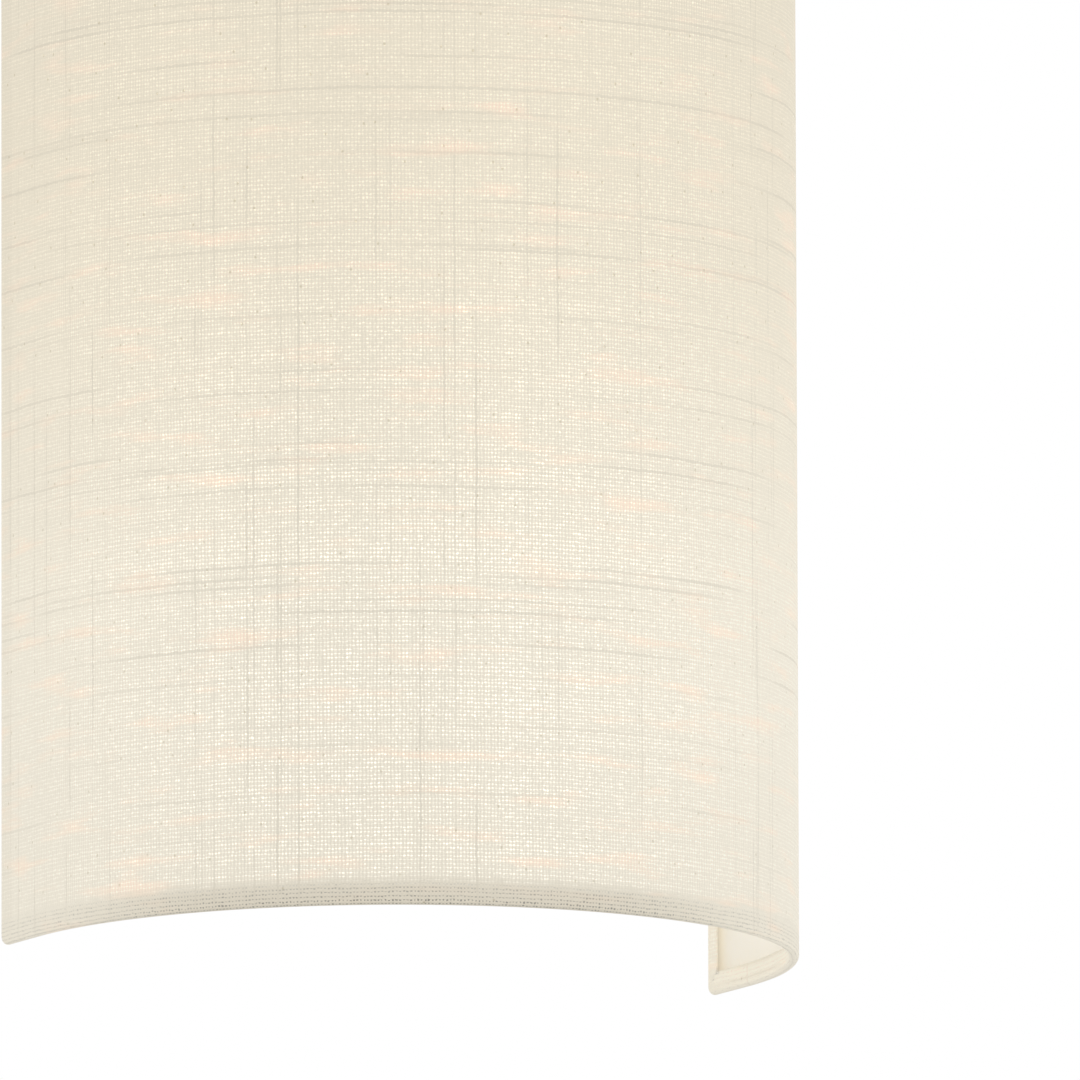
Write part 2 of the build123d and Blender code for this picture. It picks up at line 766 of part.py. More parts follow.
def lead(name, side):
    """One lead: from its post, up the nipple, back into the canopy and down to the block."""
    near = side * lead_pair / 2
    far = side * pole_pitch
    post = (side * post_x, lamp_y, holder_top - core_top + post_h + lead_rise)
    block_top = block_z + block_height / 2
    points = [
        post,
        (near, lamp_y, holder_top - nipple_below - lead_join),
        (near, lamp_y, lead_run_z),
        (near, lead_drop_y, lead_run_z),
        (near, lead_drop_y, lead_run_z - spread_start),
        (far, lead_drop_y, lead_run_z - spread_end),
        (far, lead_drop_y, block_top),
    ]
    return wire_route(name, points, lead_bends)


def earth_lead():
    """Earth lead from the block's middle pole up to the tag on the earth stud."""
    block_top = block_z + block_height / 2
    tag_y = canopy_inner + tag_t + barrel_d / 2
    end_z = stud_z - tag_r - barrel_length
    points = [
        (0, lead_drop_y, block_top),
        (0, lead_drop_y, block_top + earth_rise),
        (0, tag_y, end_z - earth_level),
        (0, tag_y, end_z),
    ]
    return wire_route("earth_lead", points, earth_bends)


def lead_grommet():
    """Soft bush in the canopy's front, round the two leads."""
    groove_r, lip_r = grommet_r - grommet_play, grommet_r + grommet_lip
    profile = [
        (grommet_bore_r, grommet_lip_t),
        (lip_r, grommet_lip_t),
        (lip_r, grommet_seat),
        (groove_r, grommet_seat),
        (groove_r, -canopy_wall - grommet_seat),
        (lip_r, -canopy_wall - grommet_seat),
        (lip_r, -canopy_wall - grommet_lip_t),
        (grommet_bore_r, -canopy_wall - grommet_lip_t),
    ]
    outline = [(r, 0, z) for r, z in profile]
    bush = revolve(make_face(Polyline(*outline, outline[0])), Axis.Z)
    return Plane(origin=(0, canopy_face, lead_run_z), z_dir=(0, -1, 0)) * bush


def earth_stud():
    """Threaded stud welded to the inside of the canopy's front."""
    return rod((0, canopy_inner, stud_z), (0, 1, 0), stud_d / 2, stud_length)


def earth_nut():
    """Nut that clamps the tag on the stud."""
    blank = extrude(RegularPolygon(earth_nut_across / 2, 6, major_radius=False), earth_nut_t)
    blank -= Cylinder(stud_d / 2 + thread_gap, 3 * earth_nut_t)
    return Plane(origin=(0, canopy_inner + tag_t, stud_z), z_dir=(0, 1, 0)) * blank


def earth_tag():
    """Ring tag crimped on the earth lead."""
    eye = rod((0, canopy_inner, stud_z), (0, 1, 0), tag_r, tag_t)
    neck_low = stud_z - tag_r - barrel_length
    neck_y, crimp = canopy_inner + tag_t / 2, barrel_length - tag_waist
    neck = Pos(0, neck_y, (stud_z + neck_low) / 2) * Box(tag_neck, tag_t, stud_z - neck_low)
    barrel_y = canopy_inner + tag_t + barrel_d / 2
    barrel = rod((0, barrel_y, neck_low), (0, 0, 1), barrel_d / 2, crimp)
    foot = Pos(0, barrel_y - barrel_d / 4, neck_low + crimp / 2) * Box(tag_neck, barrel_d / 2, crimp)
    tag = eye + neck + barrel + foot
    return tag - rod((0, canopy_inner - 1, stud_z), (0, 1, 0), stud_d / 2 + thread_gap, tag_t + 2)


def parts():
    """Every sub-part under its name."""
    lower = bottom_wire()
    return {
        "linen_cover": linen_cover(),
        "styrene_liner": styrene_liner(),
        "bottom_wire": lower,
        "top_wire": mirror(lower, about=Plane.XY),
        "left_upright": upright(-1),
        "right_upright": upright(1),
        "upper_cross_wire": cross_wire(upper_hook_z),
        "lower_cross_wire": cross_wire(lower_hook_z),
        "wall_strap": wall_strap(),
        "canopy": canopy(),
        "canopy_screws": canopy_screws(),
        "hook_upper_left": hook(-1, upper_hook_z),
        "hook_upper_right": hook(1, upper_hook_z),
        "hook_lower_left": hook(-1, lower_hook_z),
        "hook_lower_right": hook(1, lower_hook_z),
        "hook_rivets": Compound([rivet(x, z, hook_t) for x, z in hook_rivet_places()]),
        "lamp_arm": lamp_arm(),
        "arm_rivets": Compound([rivet(x, z, arm_t) for x, z in arm_rivet_places()]),
        "nipple": nipple(),
        "nipple_nut": nipple_nut(),
        "nipple_washer": nipple_washer(),
        "holder_cap": holder_cap(),
        "holder_skirt": holder_skirt(),
        "holder_core": holder_core(),
        "holder_shell": holder_shell(),
        "holder_contact": holder_contact(),
        "holder_terminals": holder_terminals(),
        "bulb_cap": bulb_cap(),
        "bulb_insulator": bulb_insulator(),
        "bulb_contact": bulb_contact(),
        "bulb_housing": bulb_housing(),
        "bulb_globe": bulb_globe(),
        "bulb_board": bulb_board(),
        "terminal_block": terminal_block(),
        "terminal_screws": terminal_screws(),
        "block_screw": block_screw(),
        "live_lead": lead("live_lead", -1),
        "neutral_lead": lead("neutral_lead", 1),
        "earth_lead": earth_lead(),
        "lead_grommet": lead_grommet(),
        "earth_stud": earth_stud(),
        "earth_nut": earth_nut(),
        "earth_tag": earth_tag(),
    }


os.makedirs("parts", exist_ok=True)
for name, shape in parts().items():
    export_step(shape, f"parts/{name}.step")
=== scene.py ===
"""Looks of a fabric shade wall light, made round its CAD model. Lengths are in metres."""

import logging
import math
from collections.abc import Callable, Sequence
from dataclasses import dataclass, field
from enum import Enum

import bmesh
import bpy
from mathutils import Matrix, Vector, noise


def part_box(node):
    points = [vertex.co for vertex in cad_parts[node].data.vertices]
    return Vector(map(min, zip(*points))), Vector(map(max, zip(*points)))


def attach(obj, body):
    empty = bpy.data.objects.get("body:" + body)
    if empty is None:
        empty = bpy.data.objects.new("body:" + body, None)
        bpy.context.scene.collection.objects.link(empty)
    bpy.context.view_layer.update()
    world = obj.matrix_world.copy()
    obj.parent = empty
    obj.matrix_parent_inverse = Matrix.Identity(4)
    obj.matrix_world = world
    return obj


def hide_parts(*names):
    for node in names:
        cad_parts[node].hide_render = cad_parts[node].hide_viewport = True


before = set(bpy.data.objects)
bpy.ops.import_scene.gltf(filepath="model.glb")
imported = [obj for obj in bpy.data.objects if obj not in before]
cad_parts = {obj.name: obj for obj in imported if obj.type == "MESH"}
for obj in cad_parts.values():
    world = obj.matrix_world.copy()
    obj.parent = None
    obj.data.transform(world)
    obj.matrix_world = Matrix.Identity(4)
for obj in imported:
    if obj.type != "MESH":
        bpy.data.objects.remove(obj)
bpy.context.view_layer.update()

LOG = logging.getLogger("wall_light")
MM = 0.001
TOUCH = 1e-6  # points this near are one
NOTHING = 1e-7  # a length that counts as none
Colour = tuple[float, float, float]
Rings = Sequence[tuple[float, float]]  # radius and height of each; a radius of 0 closes the end


def colour(red: int, green: int, blue: int) -> Colour:
    """The linear colour of three values from 0 to 255."""
    shares = [level / 255 for level in (red, green, blue)]
    return tuple(v / 12.92 if v <= 0.04045 else ((v + 0.055) / 1.055) ** 2.4 for v in shares)


class Axis(Enum):
    """A direction that a metal's grain runs in."""

    X = (1.0, 0.0, 0.0)
    Z = (0.0, 0.0, 1.0)


class Side(Enum):
    """The light's two sides, as someone who faces the wall sees them."""

    LEFT = -1
    RIGHT = 1


# ---- Shader nodes ----


class Value:
    """One output socket. Arithmetic on it adds Math nodes to its tree."""

    def __init__(self, tree: "Tree", socket: bpy.types.NodeSocket) -> None:
        """Args: tree holds the node, and socket is its output."""
        self.tree = tree
        self.socket = socket

    def math(self, operation: str, *operands: "Value | float") -> "Value":
        """The result of one Math node with these inputs, in order."""
        return self.tree.node("ShaderNodeMath", {"operation": operation}, dict(enumerate(operands)))

    def __add__(self, other: "Value | float") -> "Value":
        """The sum."""
        return self.math("ADD", self, other)

    __radd__ = __add__

    def __sub__(self, other: "Value | float") -> "Value":
        """The difference."""
        return self.math("SUBTRACT", self, other)

    def __rsub__(self, other: float) -> "Value":
        """The difference, from a number."""
        return self.math("SUBTRACT", other, self)

    def __mul__(self, other: "Value | float") -> "Value":
        """The product."""
        return self.math("MULTIPLY", self, other)

    __rmul__ = __mul__

    def __truediv__(self, other: "Value | float") -> "Value":
        """The quotient."""
        return self.math("DIVIDE", self, other)

    def __abs__(self) -> "Value":
        """The value without its sign."""
        return self.math("ABSOLUTE", self)

    def floor(self) -> "Value":
        """The whole number below."""
        return self.math("FLOOR", self)

    def most(self, other: "Value | float") -> "Value":
        """The larger of two values."""
        return self.math("MAXIMUM", self, other)

    def rise(self, low: "Value | float", high: "Value | float") -> "Value":
        """A smooth step.

        Args:
            low: Where the result is 0.
            high: Where the result is 1.

        Returns:
            A value from 0 to 1.
        """
        settings = {"interpolation_type": "SMOOTHSTEP", "clamp": True}
        inputs = {"Value": self, "From Min": low, "From Max": high}
        return self.tree.node("ShaderNodeMapRange", settings, inputs)


class Tree:
    """A node tree that is being filled."""

    def __init__(self, nodes: bpy.types.NodeTree) -> None:
        """Args: nodes is the tree to fill."""
        self.nodes = nodes

    def node(
        self,
        kind: str,
        settings: dict[str, object] | None = None,
        inputs: dict[int | str, object] | None = None,
        output: int | str = 0,
    ) -> Value:
        """Adds a node.

        Args:
            kind: The node's type.
            settings: Its own settings, set before its inputs.
            inputs: A number, colour or Value for each input, by its name or number.
            output: The output that is wanted.

        Returns:
            That output.
        """
        made = self.nodes.nodes.new(kind)
        for key, value in (settings or {}).items():
            setattr(made, key, value)
        for key, value in (inputs or {}).items():
            self.feed(made.inputs[key], value)
        return Value(self, made.outputs[output])

    def feed(self, socket: bpy.types.NodeSocket, value: object) -> None:
        """Links a Value to an input, or sets the input's own number or colour.

        Args:
            socket: The input.
            value: A Value, number or colour.
        """
        if isinstance(value, Value):
            self.nodes.links.new(value.socket, socket)
        elif isinstance(value, tuple) and socket.type == "RGBA":
            socket.default_value = (*value, 1.0)
        else:
            socket.default_value = value

    def mix(self, share: Value | float, first: "Value | Colour", second: "Value | Colour") -> Value:
        """Blends two colours by share, from first to second."""
        inputs = {0: share, 6: first, 7: second}
        return self.node("ShaderNodeMix", {"data_type": "RGBA", "clamp_factor": True}, inputs, 2)

    def tint(self, tone: "Value | Colour", strength: Value | float) -> Value:
        """A colour times a value."""
        return self.node("ShaderNodeVectorMath", {"operation": "SCALE"}, {0: tone, "Scale": strength})

    def point(self, x: Value | float, y: Value | float, z: Value | float = 0.0) -> Value:
        """A vector from three values."""
        return self.node("ShaderNodeCombineXYZ", None, {0: x, 1: y, 2: z})

    def split(self, vector: Value) -> tuple[Value, Value, Value]:
        """The three parts of a vector."""
        made = self.node("ShaderNodeSeparateXYZ", None, {0: vector}).socket.node
        return tuple(Value(self, out) for out in made.outputs)

    def cloud(self, where: Value, size: float = 1.0, detail: float = 2.0) -> Value:
        """Soft noise from about -0.5 to 0.5, with size millimetres from patch to patch."""
        inputs = {"Vector": where, "Scale": 1.0 / size, "Detail": detail}
        return self.node("ShaderNodeTexNoise", None, inputs) - 0.5

    def drift(self, x: Value | float, y: Value | float, z: Value | float, detail: float = 2.0) -> Value:
        """Soft noise at three coordinates, each counted in patches."""
        return self.cloud(self.point(x, y, z), 1.0, detail)

    def chance(self, seed: Value) -> Value:
        """A random number from 0 to 1 for each whole seed."""
        return self.node("ShaderNodeTexWhiteNoise", {"noise_dimensions": "1D"}, {"W": seed})


class Paint(Tree):
    """A material that is being made, with its one surface shader."""

    def __init__(self, name: str) -> None:
        """Args: name is the material's."""
        self.material = bpy.data.materials.new(name)
        self.material.use_nodes = True
        super().__init__(self.material.node_tree)
        self.surface = self.nodes.nodes["Principled BSDF"]

    def set(self, **inputs: object) -> None:
        """Feeds the surface's inputs, named in lower case with underscores.

        Args:
            inputs: A Value, number or colour for each input.
        """
        names = {socket.name.lower().replace(" ", "_"): socket for socket in self.surface.inputs}
        for key, value in inputs.items():
            self.feed(names[key], value)

    def space(self) -> Value:
        """Object coordinates in millimetres."""
        made = self.node("ShaderNodeTexCoord", None, None, "Object")
        return self.tint(made, 1.0 / MM)

    def cloth_space(self) -> tuple[Value, Value]:
        """Millimetres along the cloth and up it, from its own map.

        Returns:
            Both values.
        """
        made = self.node("ShaderNodeUVMap", {"uv_map": "weave"})
        along, up, _ = self.split(self.tint(made, 1.0 / MM))
        return along, up

    def bump(self, height: Value, depth: float) -> None:
        """Gives the surface a relief, depth metres deep."""
        relief = {"Height": height, "Distance": depth, "Strength": 1.0}
        self.set(normal=self.node("ShaderNodeBump", None, relief))


# ---- Finishes ----


@dataclass(frozen=True)
class Finish:
    """What a surface is made of. Its material is made once and shared."""

    name: str

    def paint(self, paint: Paint) -> None:
        """Fills the new material."""
        raise NotImplementedError

    def material(self) -> bpy.types.Material:
        """The finish's material, made at its first use.

        Returns:
            The material.
        """
        known = bpy.data.materials.get(self.name)
        if known:
            return known
        paint = Paint(self.name)
        self.paint(paint)
        return paint.material


@dataclass(frozen=True)
class Linen(Finish):
    """Slubby plain-woven cloth in front of a lit sheet: threads are dull, and the holes between them glow
    with painted light.

    Lengths are in millimetres. The cloth faces the camera at facing and has a narrow upright band of
    painted shade at dip, both counted along it, and lamp_height is the height of the lamp's middle.
    """

    half_length: float
    half_height: float
    hem: float
    warp_pitch: float = 0.88
    weft_pitch: float = 1.0
    facing: float = -45.0
    dip: float = -58.0
    lamp_height: float = -70.0
    thread: Colour = colour(221, 214, 198)
    high_light: Colour = (0.350, 0.305, 0.222)
    low_light: Colour = (0.372, 0.356, 0.314)
    peach_glow: Colour = (0.405, 0.31, 0.225)
    fleck: Colour = colour(170, 160, 132)
    peach: Colour = colour(244, 220, 200)
    # Painted shade: tone of the threads in the unlit hem band.
    hem_shade_tone: Colour = colour(221, 213, 196)

    def threads(
        self, paint: Paint, across: Value, along: Value, pitch: float, seed: float
    ) -> tuple[Value, ...]:
        """One set of parallel threads.

        Args:
            paint: The material.
            across: Millimetres across the threads.
            along: Millimetres along them.
            pitch: Millimetres from thread to thread.
            seed: Keeps one set unlike the other.

        Returns:
            Each place's distance from its thread's middle, the thread's half width, both as shares of
            the pitch, the thread's number, the gap's number and how much of a slub it is there.
        """
        sway = paint.drift(across / 9.0, along / 24.0, seed, 1.0)
        shake = paint.drift(across / 1.3, along / 1.3, seed + 3.0, 1.0)
        place = across / pitch + sway * 0.8 + shake * 0.6
        number = place.floor()
        off_centre = abs(place - number - 0.5)
        lot = paint.chance(number * 1.37 + (seed + 7.5))
        stretch = paint.drift(number * 1.7, along / 60.0, seed + 9.0, 3.0).rise(-0.06, 0.1)
        slub = lot.rise(0.84, 0.98) * stretch
        uneven = paint.drift(number * 3.3, along / 1.4, seed, 1.0) * 0.44
        half = paint.chance(number + seed) * 0.1 + uneven + slub * 0.09 + 0.23
        return off_centre, half, number, (place + 0.5).floor(), slub * (1.0 - off_centre.rise(0.14, 0.4))

    def paint(self, paint: Paint) -> None:
        """Fills the material with the weave, flecks, the painted shade of the hem band and the lamp's light
        painted in as a glow.

        Args:
            paint: The new material.
        """
        along, up = paint.cloth_space()
        warps = self.threads(paint, along, up, self.warp_pitch, 0.0)
        wefts = self.threads(paint, up, along, self.weft_pitch, 41.0)
        warp_off, warp_half, warp_number, warp_gap, warp_slub = warps
        weft_off, weft_half, weft_number, weft_gap, weft_slub = wefts
        crossing = warp_number + weft_number
        crimp = (crossing.math("PINGPONG", 1.0) - 0.5) * 0.16
        warp = self.cover(warp_off, warp_half + crimp + 0.04)
        weft = self.cover(weft_off, weft_half - crimp - 0.02)
        slub = warp_slub.most(weft_slub)
        hole_lot = paint.chance(warp_gap * 17.13 + weft_gap * 3.71)
        gap = (1.0 - warp) * (1.0 - weft)
        aside = abs(along - self.facing)
        # Painted light: away from where the cloth faces the camera, and higher up, the glow through the
        # holes is evened out.
        calm = aside.rise(20.0, 130.0).most(up.rise(-70.0, 70.0) * 0.6) * 0.75
        open_share = 0.62 - warp * 0.12 - weft * 0.09 + gap * (hole_lot * 1.1 + 0.35)
        open_share = open_share * (1.0 - calm) + calm * 0.6

        # Painted shade: the hem band, where the wire and the turned-in flap block the lamp's light, glows
        # less and its threads take a slightly darker tone.
        wavy = paint.drift(along / 5.0, 0.0, 4.0) * 1.6
        band_top = self.half_height - self.hem
        band = (abs(up) + wavy).rise(band_top - 2.6, band_top + 1.6)
        band = band * (abs(up).rise(band_top, self.half_height) * 0.25 + 0.75)
        end_top = self.half_length - self.hem
        end_band = abs(along).rise(end_top - 0.9, end_top + 0.6)
        roll = abs(up).rise(self.half_height - 1.8, self.half_height - 0.8)
        shaded = band * (1.0 - aside.rise(45.0, 110.0) * 0.9)
        shaded = shaded.most(end_band * 0.14)
        inside = (abs(up) - self.half_height).most(abs(along) - self.half_length).rise(1.0, 2.6)

        # Painted light: the cloth's emission stands in for the lamp's light coming through it. It is
        # brighter near the lamp's height, through the holes, further along towards the right side and on
        # the turned-in flap, and uneven in wide patches.
        high = up.rise(-110.0, 60.0)
        lamp_glow = 1.0 - (abs(up - self.lamp_height) / 220.0) * 0.3
        wash = paint.drift(along / 45.0, up / 60.0, 5.0, 1.0) * 0.12 + 1.0
        dimmed = (1.0 - shaded * (1.0 - inside) * 0.72) * (1.0 - slub * 0.3)
        # Painted shade: a narrow upright band of dimmer glow at dip.
        dimmed = dimmed * (abs(along - self.dip).rise(0.0, 38.0) * 0.06 + 0.94)
        lit = open_share * 1.2 + along.rise(20.0, 110.0) * 0.04 + inside * 0.18
        light = lit * lamp_glow * wash * dimmed

        # Painted light: the glow's tone runs from low_light at the bottom to high_light at the top, and
        # turns peach in the patches where the cloth is peach.
        patch = paint.drift(along / 26.0, up / 5.0, 3.0, 3.0).rise(0.02, 0.26) * 0.5
        tone = paint.mix(patch, paint.mix(high, self.low_light, self.high_light), self.peach_glow)
        shade = paint.mix(patch, self.thread, self.peach)
        old = paint.drift(along / 3.0, up / 3.0, 8.0) * 0.05
        # Painted shade: thick slubs and thread crossings are a little darker, as they let less light
        # through.
        shade = paint.tint(shade, old + 1.0 - slub * 0.03 - warp * weft * 0.04)
        shade = paint.mix(shaded * 0.9, shade, self.hem_shade_tone)
        # Painted shade: in the hem band the holes between threads are painted dark, where they look onto
        # the unlit wire and flap behind. The rolled edge is painted a little lighter.
        hole_shade_band = band * (1.0 - aside.rise(80.0, 190.0) * 0.5)
        hole_shadow = gap * hole_shade_band * (hole_lot.rise(0.0, 0.7) * 0.5 + 0.45)
        shade = paint.tint(shade, (1.0 - hole_shadow) * (1.0 + roll * 0.07))
        shade = paint.mix(self.flecks(paint, along, up), shade, self.fleck)

        height = (warp * (crimp * 3.0 + 0.75)).most(weft * (0.75 - crimp * 3.0))
        fuzz = paint.drift(along / 0.35, up / 0.35, 1.0)
        paint.set(
            base_color=shade,
            emission_color=paint.tint(tone, light),
            emission_strength=1.0,
            roughness=fuzz * 0.2 + 0.86,
            specular_ior_level=0.25,
            sheen_weight=0.12,
            sheen_roughness=0.5,
        )
        paint.bump((height + slub * 0.4) * (1.0 - calm * 0.5) + fuzz * 0.5, 0.09 * MM)

    def cover(self, off_centre: Value, half: Value) -> Value:
        """How much a thread covers, from 0 beside it to 1 on it, with a soft hairy edge."""
        return 1.0 - off_centre.rise(half - 0.1, half + 0.13)

    def flecks(self, paint: Paint, along: Value, up: Value) -> Value:
        """Rare dark bits of straw in the yarn, a millimetre or less long.

        Args:
            paint: The material.
            along: Millimetres along the cloth.
            up: Millimetres up it.

        Returns:
            How much of a fleck is there, from 0 to 0.55.
        """
        spread = {"Vector": paint.point(along / 0.8, up), "Scale": 0.075, "Randomness": 1.0}
        distance = paint.node("ShaderNodeTexVoronoi", {"voronoi_dimensions": "2D"}, spread, "Distance")
        ragged = paint.drift(along / 0.4, up / 0.4, 2.0, 1.0) * 0.03
        return (1.0 - (distance + ragged).rise(0.014, 0.038)) * 0.55


@dataclass(frozen=True)
class LinerSheet(Finish):
    """Pale plastic sheet behind the linen, painted with a glow that is bright where the lamp is near."""

    lamp: Vector
    tone: Colour = colour(236, 231, 220)
    warm: Colour = (0.44, 0.42, 0.372)

    def paint(self, paint: Paint) -> None:
        """Fills the material with calendered streaks, glue mottle, the painted shade of the linen's threads
        and the lamp's light painted in as a glow that falls off with distance.

        Args:
            paint: The new material.
        """
        where = paint.space()
        x, y, z = paint.split(where)
        far = paint.node(
            "ShaderNodeVectorMath", {"operation": "DISTANCE"}, {0: where, 1: tuple(self.lamp / MM)}, "Value"
        )
        near = 1.0 - far.rise(40.0, 230.0)
        glue = paint.cloud(where, 11.0, 3.0)
        streak = paint.drift(x / 1.5, y / 1.5, z / 60.0)
        # Painted shade: the linen's threads show faintly through the liner, in its tone and its glow.
        weave = paint.drift(x / 0.9, y / 0.9, z / 0.9, 1.0)
        tone = paint.tint(self.tone, glue * 0.05 + streak * 0.05 + weave * 0.04 + 1.0)
        paint.set(
            base_color=tone,
            emission_color=paint.tint(self.warm, near * 0.75 + glue * 0.08 + weave * 0.05 + 0.02),
            emission_strength=1.0,
            roughness=streak * 0.15 + 0.42,
        )
        paint.bump(glue + streak * 0.3, 0.05 * MM)


class Grain(Enum):
    """How a metal surface was worked, and so what its fine marks look like."""

    ROLLED = "rolled"
    DRAWN = "drawn"
    TURNED = "turned"
    PLATED = "plated"


@dataclass(frozen=True)
class Metal(Finish):
    """Bare or plated metal with fine working marks, dulled in patches."""

    tone: Colour
    dull: Colour
    roughness: float
    grain: Grain = Grain.PLATED
    along: Axis = Axis.Z

    def marks(self, paint: Paint, where: Value) -> Value:
        """Fine marks about 0, as the metal's working leaves them.

        Args:
            paint: The material.
            where: Object coordinates in millimetres.

        Returns:
            A value about 0.
        """
        x, y, z = paint.split(where)
        if self.grain is Grain.TURNED:
            return paint.drift(0.0, 0.0, z / 0.12)
        if self.grain is Grain.PLATED:
            return paint.cloud(where, 0.5, 3.0)
        fine = 0.3 if self.grain is Grain.DRAWN else 0.6
        stretch = [fine * (40.0 if part else 1.0) for part in self.along.value]
        return paint.drift(*(p / s for p, s in zip((x, y, z), stretch)))

    def paint(self, paint: Paint) -> None:
        """Fills the material with marks, dull patches and small scratches.

        Args:
            paint: The new material.
        """
        where = paint.space()
        marks = self.marks(paint, where)
        patches = paint.cloud(where, 5.0, 4.0)
        spots = paint.cloud(where, 1.3, 2.0).rise(0.16, 0.3)
        tone = paint.mix(patches.rise(-0.2, 0.34) * 0.5 + spots * 0.25, self.tone, self.dull)
        paint.set(
            base_color=paint.tint(tone, marks * 0.22 + 1.0),
            metallic=1.0 - spots * 0.35,
            roughness=marks * 0.2 + patches * 0.24 + self.roughness,
        )
        paint.bump(marks + spots * 0.4, 0.02 * MM)


@dataclass(frozen=True)
class Coat(Finish):
    """Powder coat: soft orange peel with dust and light rubs."""

    tone: Colour
    worn: Colour
    peel: float = 0.9

    def paint(self, paint: Paint) -> None:
        """Fills the material with peel, dust and rubs.

        Args:
            paint: The new material.
        """
        where = paint.space()
        peel = paint.cloud(where, self.peel, 1.0)
        dust = paint.cloud(where, 16.0, 4.0)
        rub = paint.cloud(where, 2.6, 3.0).rise(0.2, 0.34)
        tone = paint.mix(dust.rise(0.0, 0.4) * 0.5 + rub * 0.2, self.tone, self.worn)
        paint.set(
            base_color=paint.tint(tone, peel * 0.04 + 1.0),
            roughness=peel * 0.12 + dust * 0.2 + rub * 0.1 + 0.4,
        )
        paint.bump(peel, 0.05 * MM)


@dataclass(frozen=True)
class Moulding(Finish):
    """Moulded plastic or rubber with a fine spark-eroded grain."""

    tone: Colour
    rubbed: Colour
    roughness: float = 0.42
    grain: float = 0.22

    def paint(self, paint: Paint) -> None:
        """Fills the material with grain, flow marks and handling marks.

        Args:
            paint: The new material.
        """
        where = paint.space()
        grain = paint.cloud(where, self.grain, 2.0)
        x, y, z = paint.split(where)
        flow = paint.drift(x / 6.0, y / 6.0, z / 18.0, 3.0)
        handled = paint.cloud(where, 2.0, 4.0).rise(0.14, 0.34)
        tone = paint.mix(flow.rise(-0.1, 0.4) * 0.4 + handled * 0.3, self.tone, self.rubbed)
        paint.set(
            base_color=paint.tint(tone, grain * 0.06 + 1.0),
            roughness=grain * 0.12 + flow * 0.12 + handled * 0.08 + self.roughness,
        )
        paint.bump(grain + flow * 0.5, 0.012 * MM)


@dataclass(frozen=True)
class Opal(Finish):
    """Diffusing globe lit from its board: bright all over, a little less beside the housing."""

    centre: Vector
    radius: float
    tone: Colour = colour(244, 241, 232)
    lit: Colour = (1.0, 0.93, 0.78)

    def paint(self, paint: Paint) -> None:
        """Fills the material with the lamp's even light and faint moulding marks.

        Args:
            paint: The new material.
        """
        where = paint.space()
        _, _, z = paint.split(where)
        up = (z - self.centre.z / MM) / (self.radius / MM)
        mottle = paint.cloud(where, 9.0, 2.0) * 0.06
        gate = paint.cloud(where, 1.1, 2.0) * 0.02
        glow = 1.0 - up.rise(-0.6, 0.5) * 0.34 + mottle + gate
        paint.set(
            base_color=paint.tint(self.tone, mottle + 0.97),
            emission_color=paint.tint(self.lit, glow),
            emission_strength=1.1,
            roughness=mottle + gate * 4.0 + 0.32,
        )
        paint.bump(gate, 0.02 * MM)


@dataclass(frozen=True)
class Insulation(Finish):
    """Soft insulation of a lead, marked by the extruder. A second colour takes the side past x = 0."""

    tone: Colour
    second: Colour | None = None

    def paint(self, paint: Paint) -> None:
        """Fills the material with the colours, drag marks and dust.

        Args:
            paint: The new material.
        """
        where = paint.space()
        x, y, z = paint.split(where)
        drag = paint.drift(x / 0.3, y / 5.0, z / 5.0)
        dust = paint.cloud(where, 3.0, 3.0)
        tone = self.tone
        if self.second:
            tone = paint.mix((x + drag * 0.15).rise(-0.05, 0.05), self.tone, self.second)
        tone = paint.tint(tone, drag * 0.1 + dust * 0.12 + 1.0)
        paint.set(base_color=tone, roughness=dust * 0.2 + drag * 0.1 + 0.36)
        paint.bump(drag, 0.015 * MM)


@dataclass(frozen=True)
class Glaze(Finish):
    """Glazed ceramic or glass: a clear coat over a speckled body."""

    tone: Colour
    speck: Colour
    coat: float = 0.8

    def paint(self, paint: Paint) -> None:
        """Fills the material with specks and pooled glaze.

        Args:
            paint: The new material.
        """
        where = paint.space()
        pool = paint.cloud(where, 4.0, 2.0)
        specks = paint.cloud(where, 0.45, 2.0).rise(0.24, 0.34)
        paint.set(
            base_color=paint.mix(specks * 0.5 + pool * 0.1, self.tone, self.speck),
            roughness=pool * 0.16 + 0.24,
            coat_weight=self.coat,
            coat_roughness=0.12,
        )
        paint.bump(pool, 0.03 * MM)


# ---- Modelling with operators ----


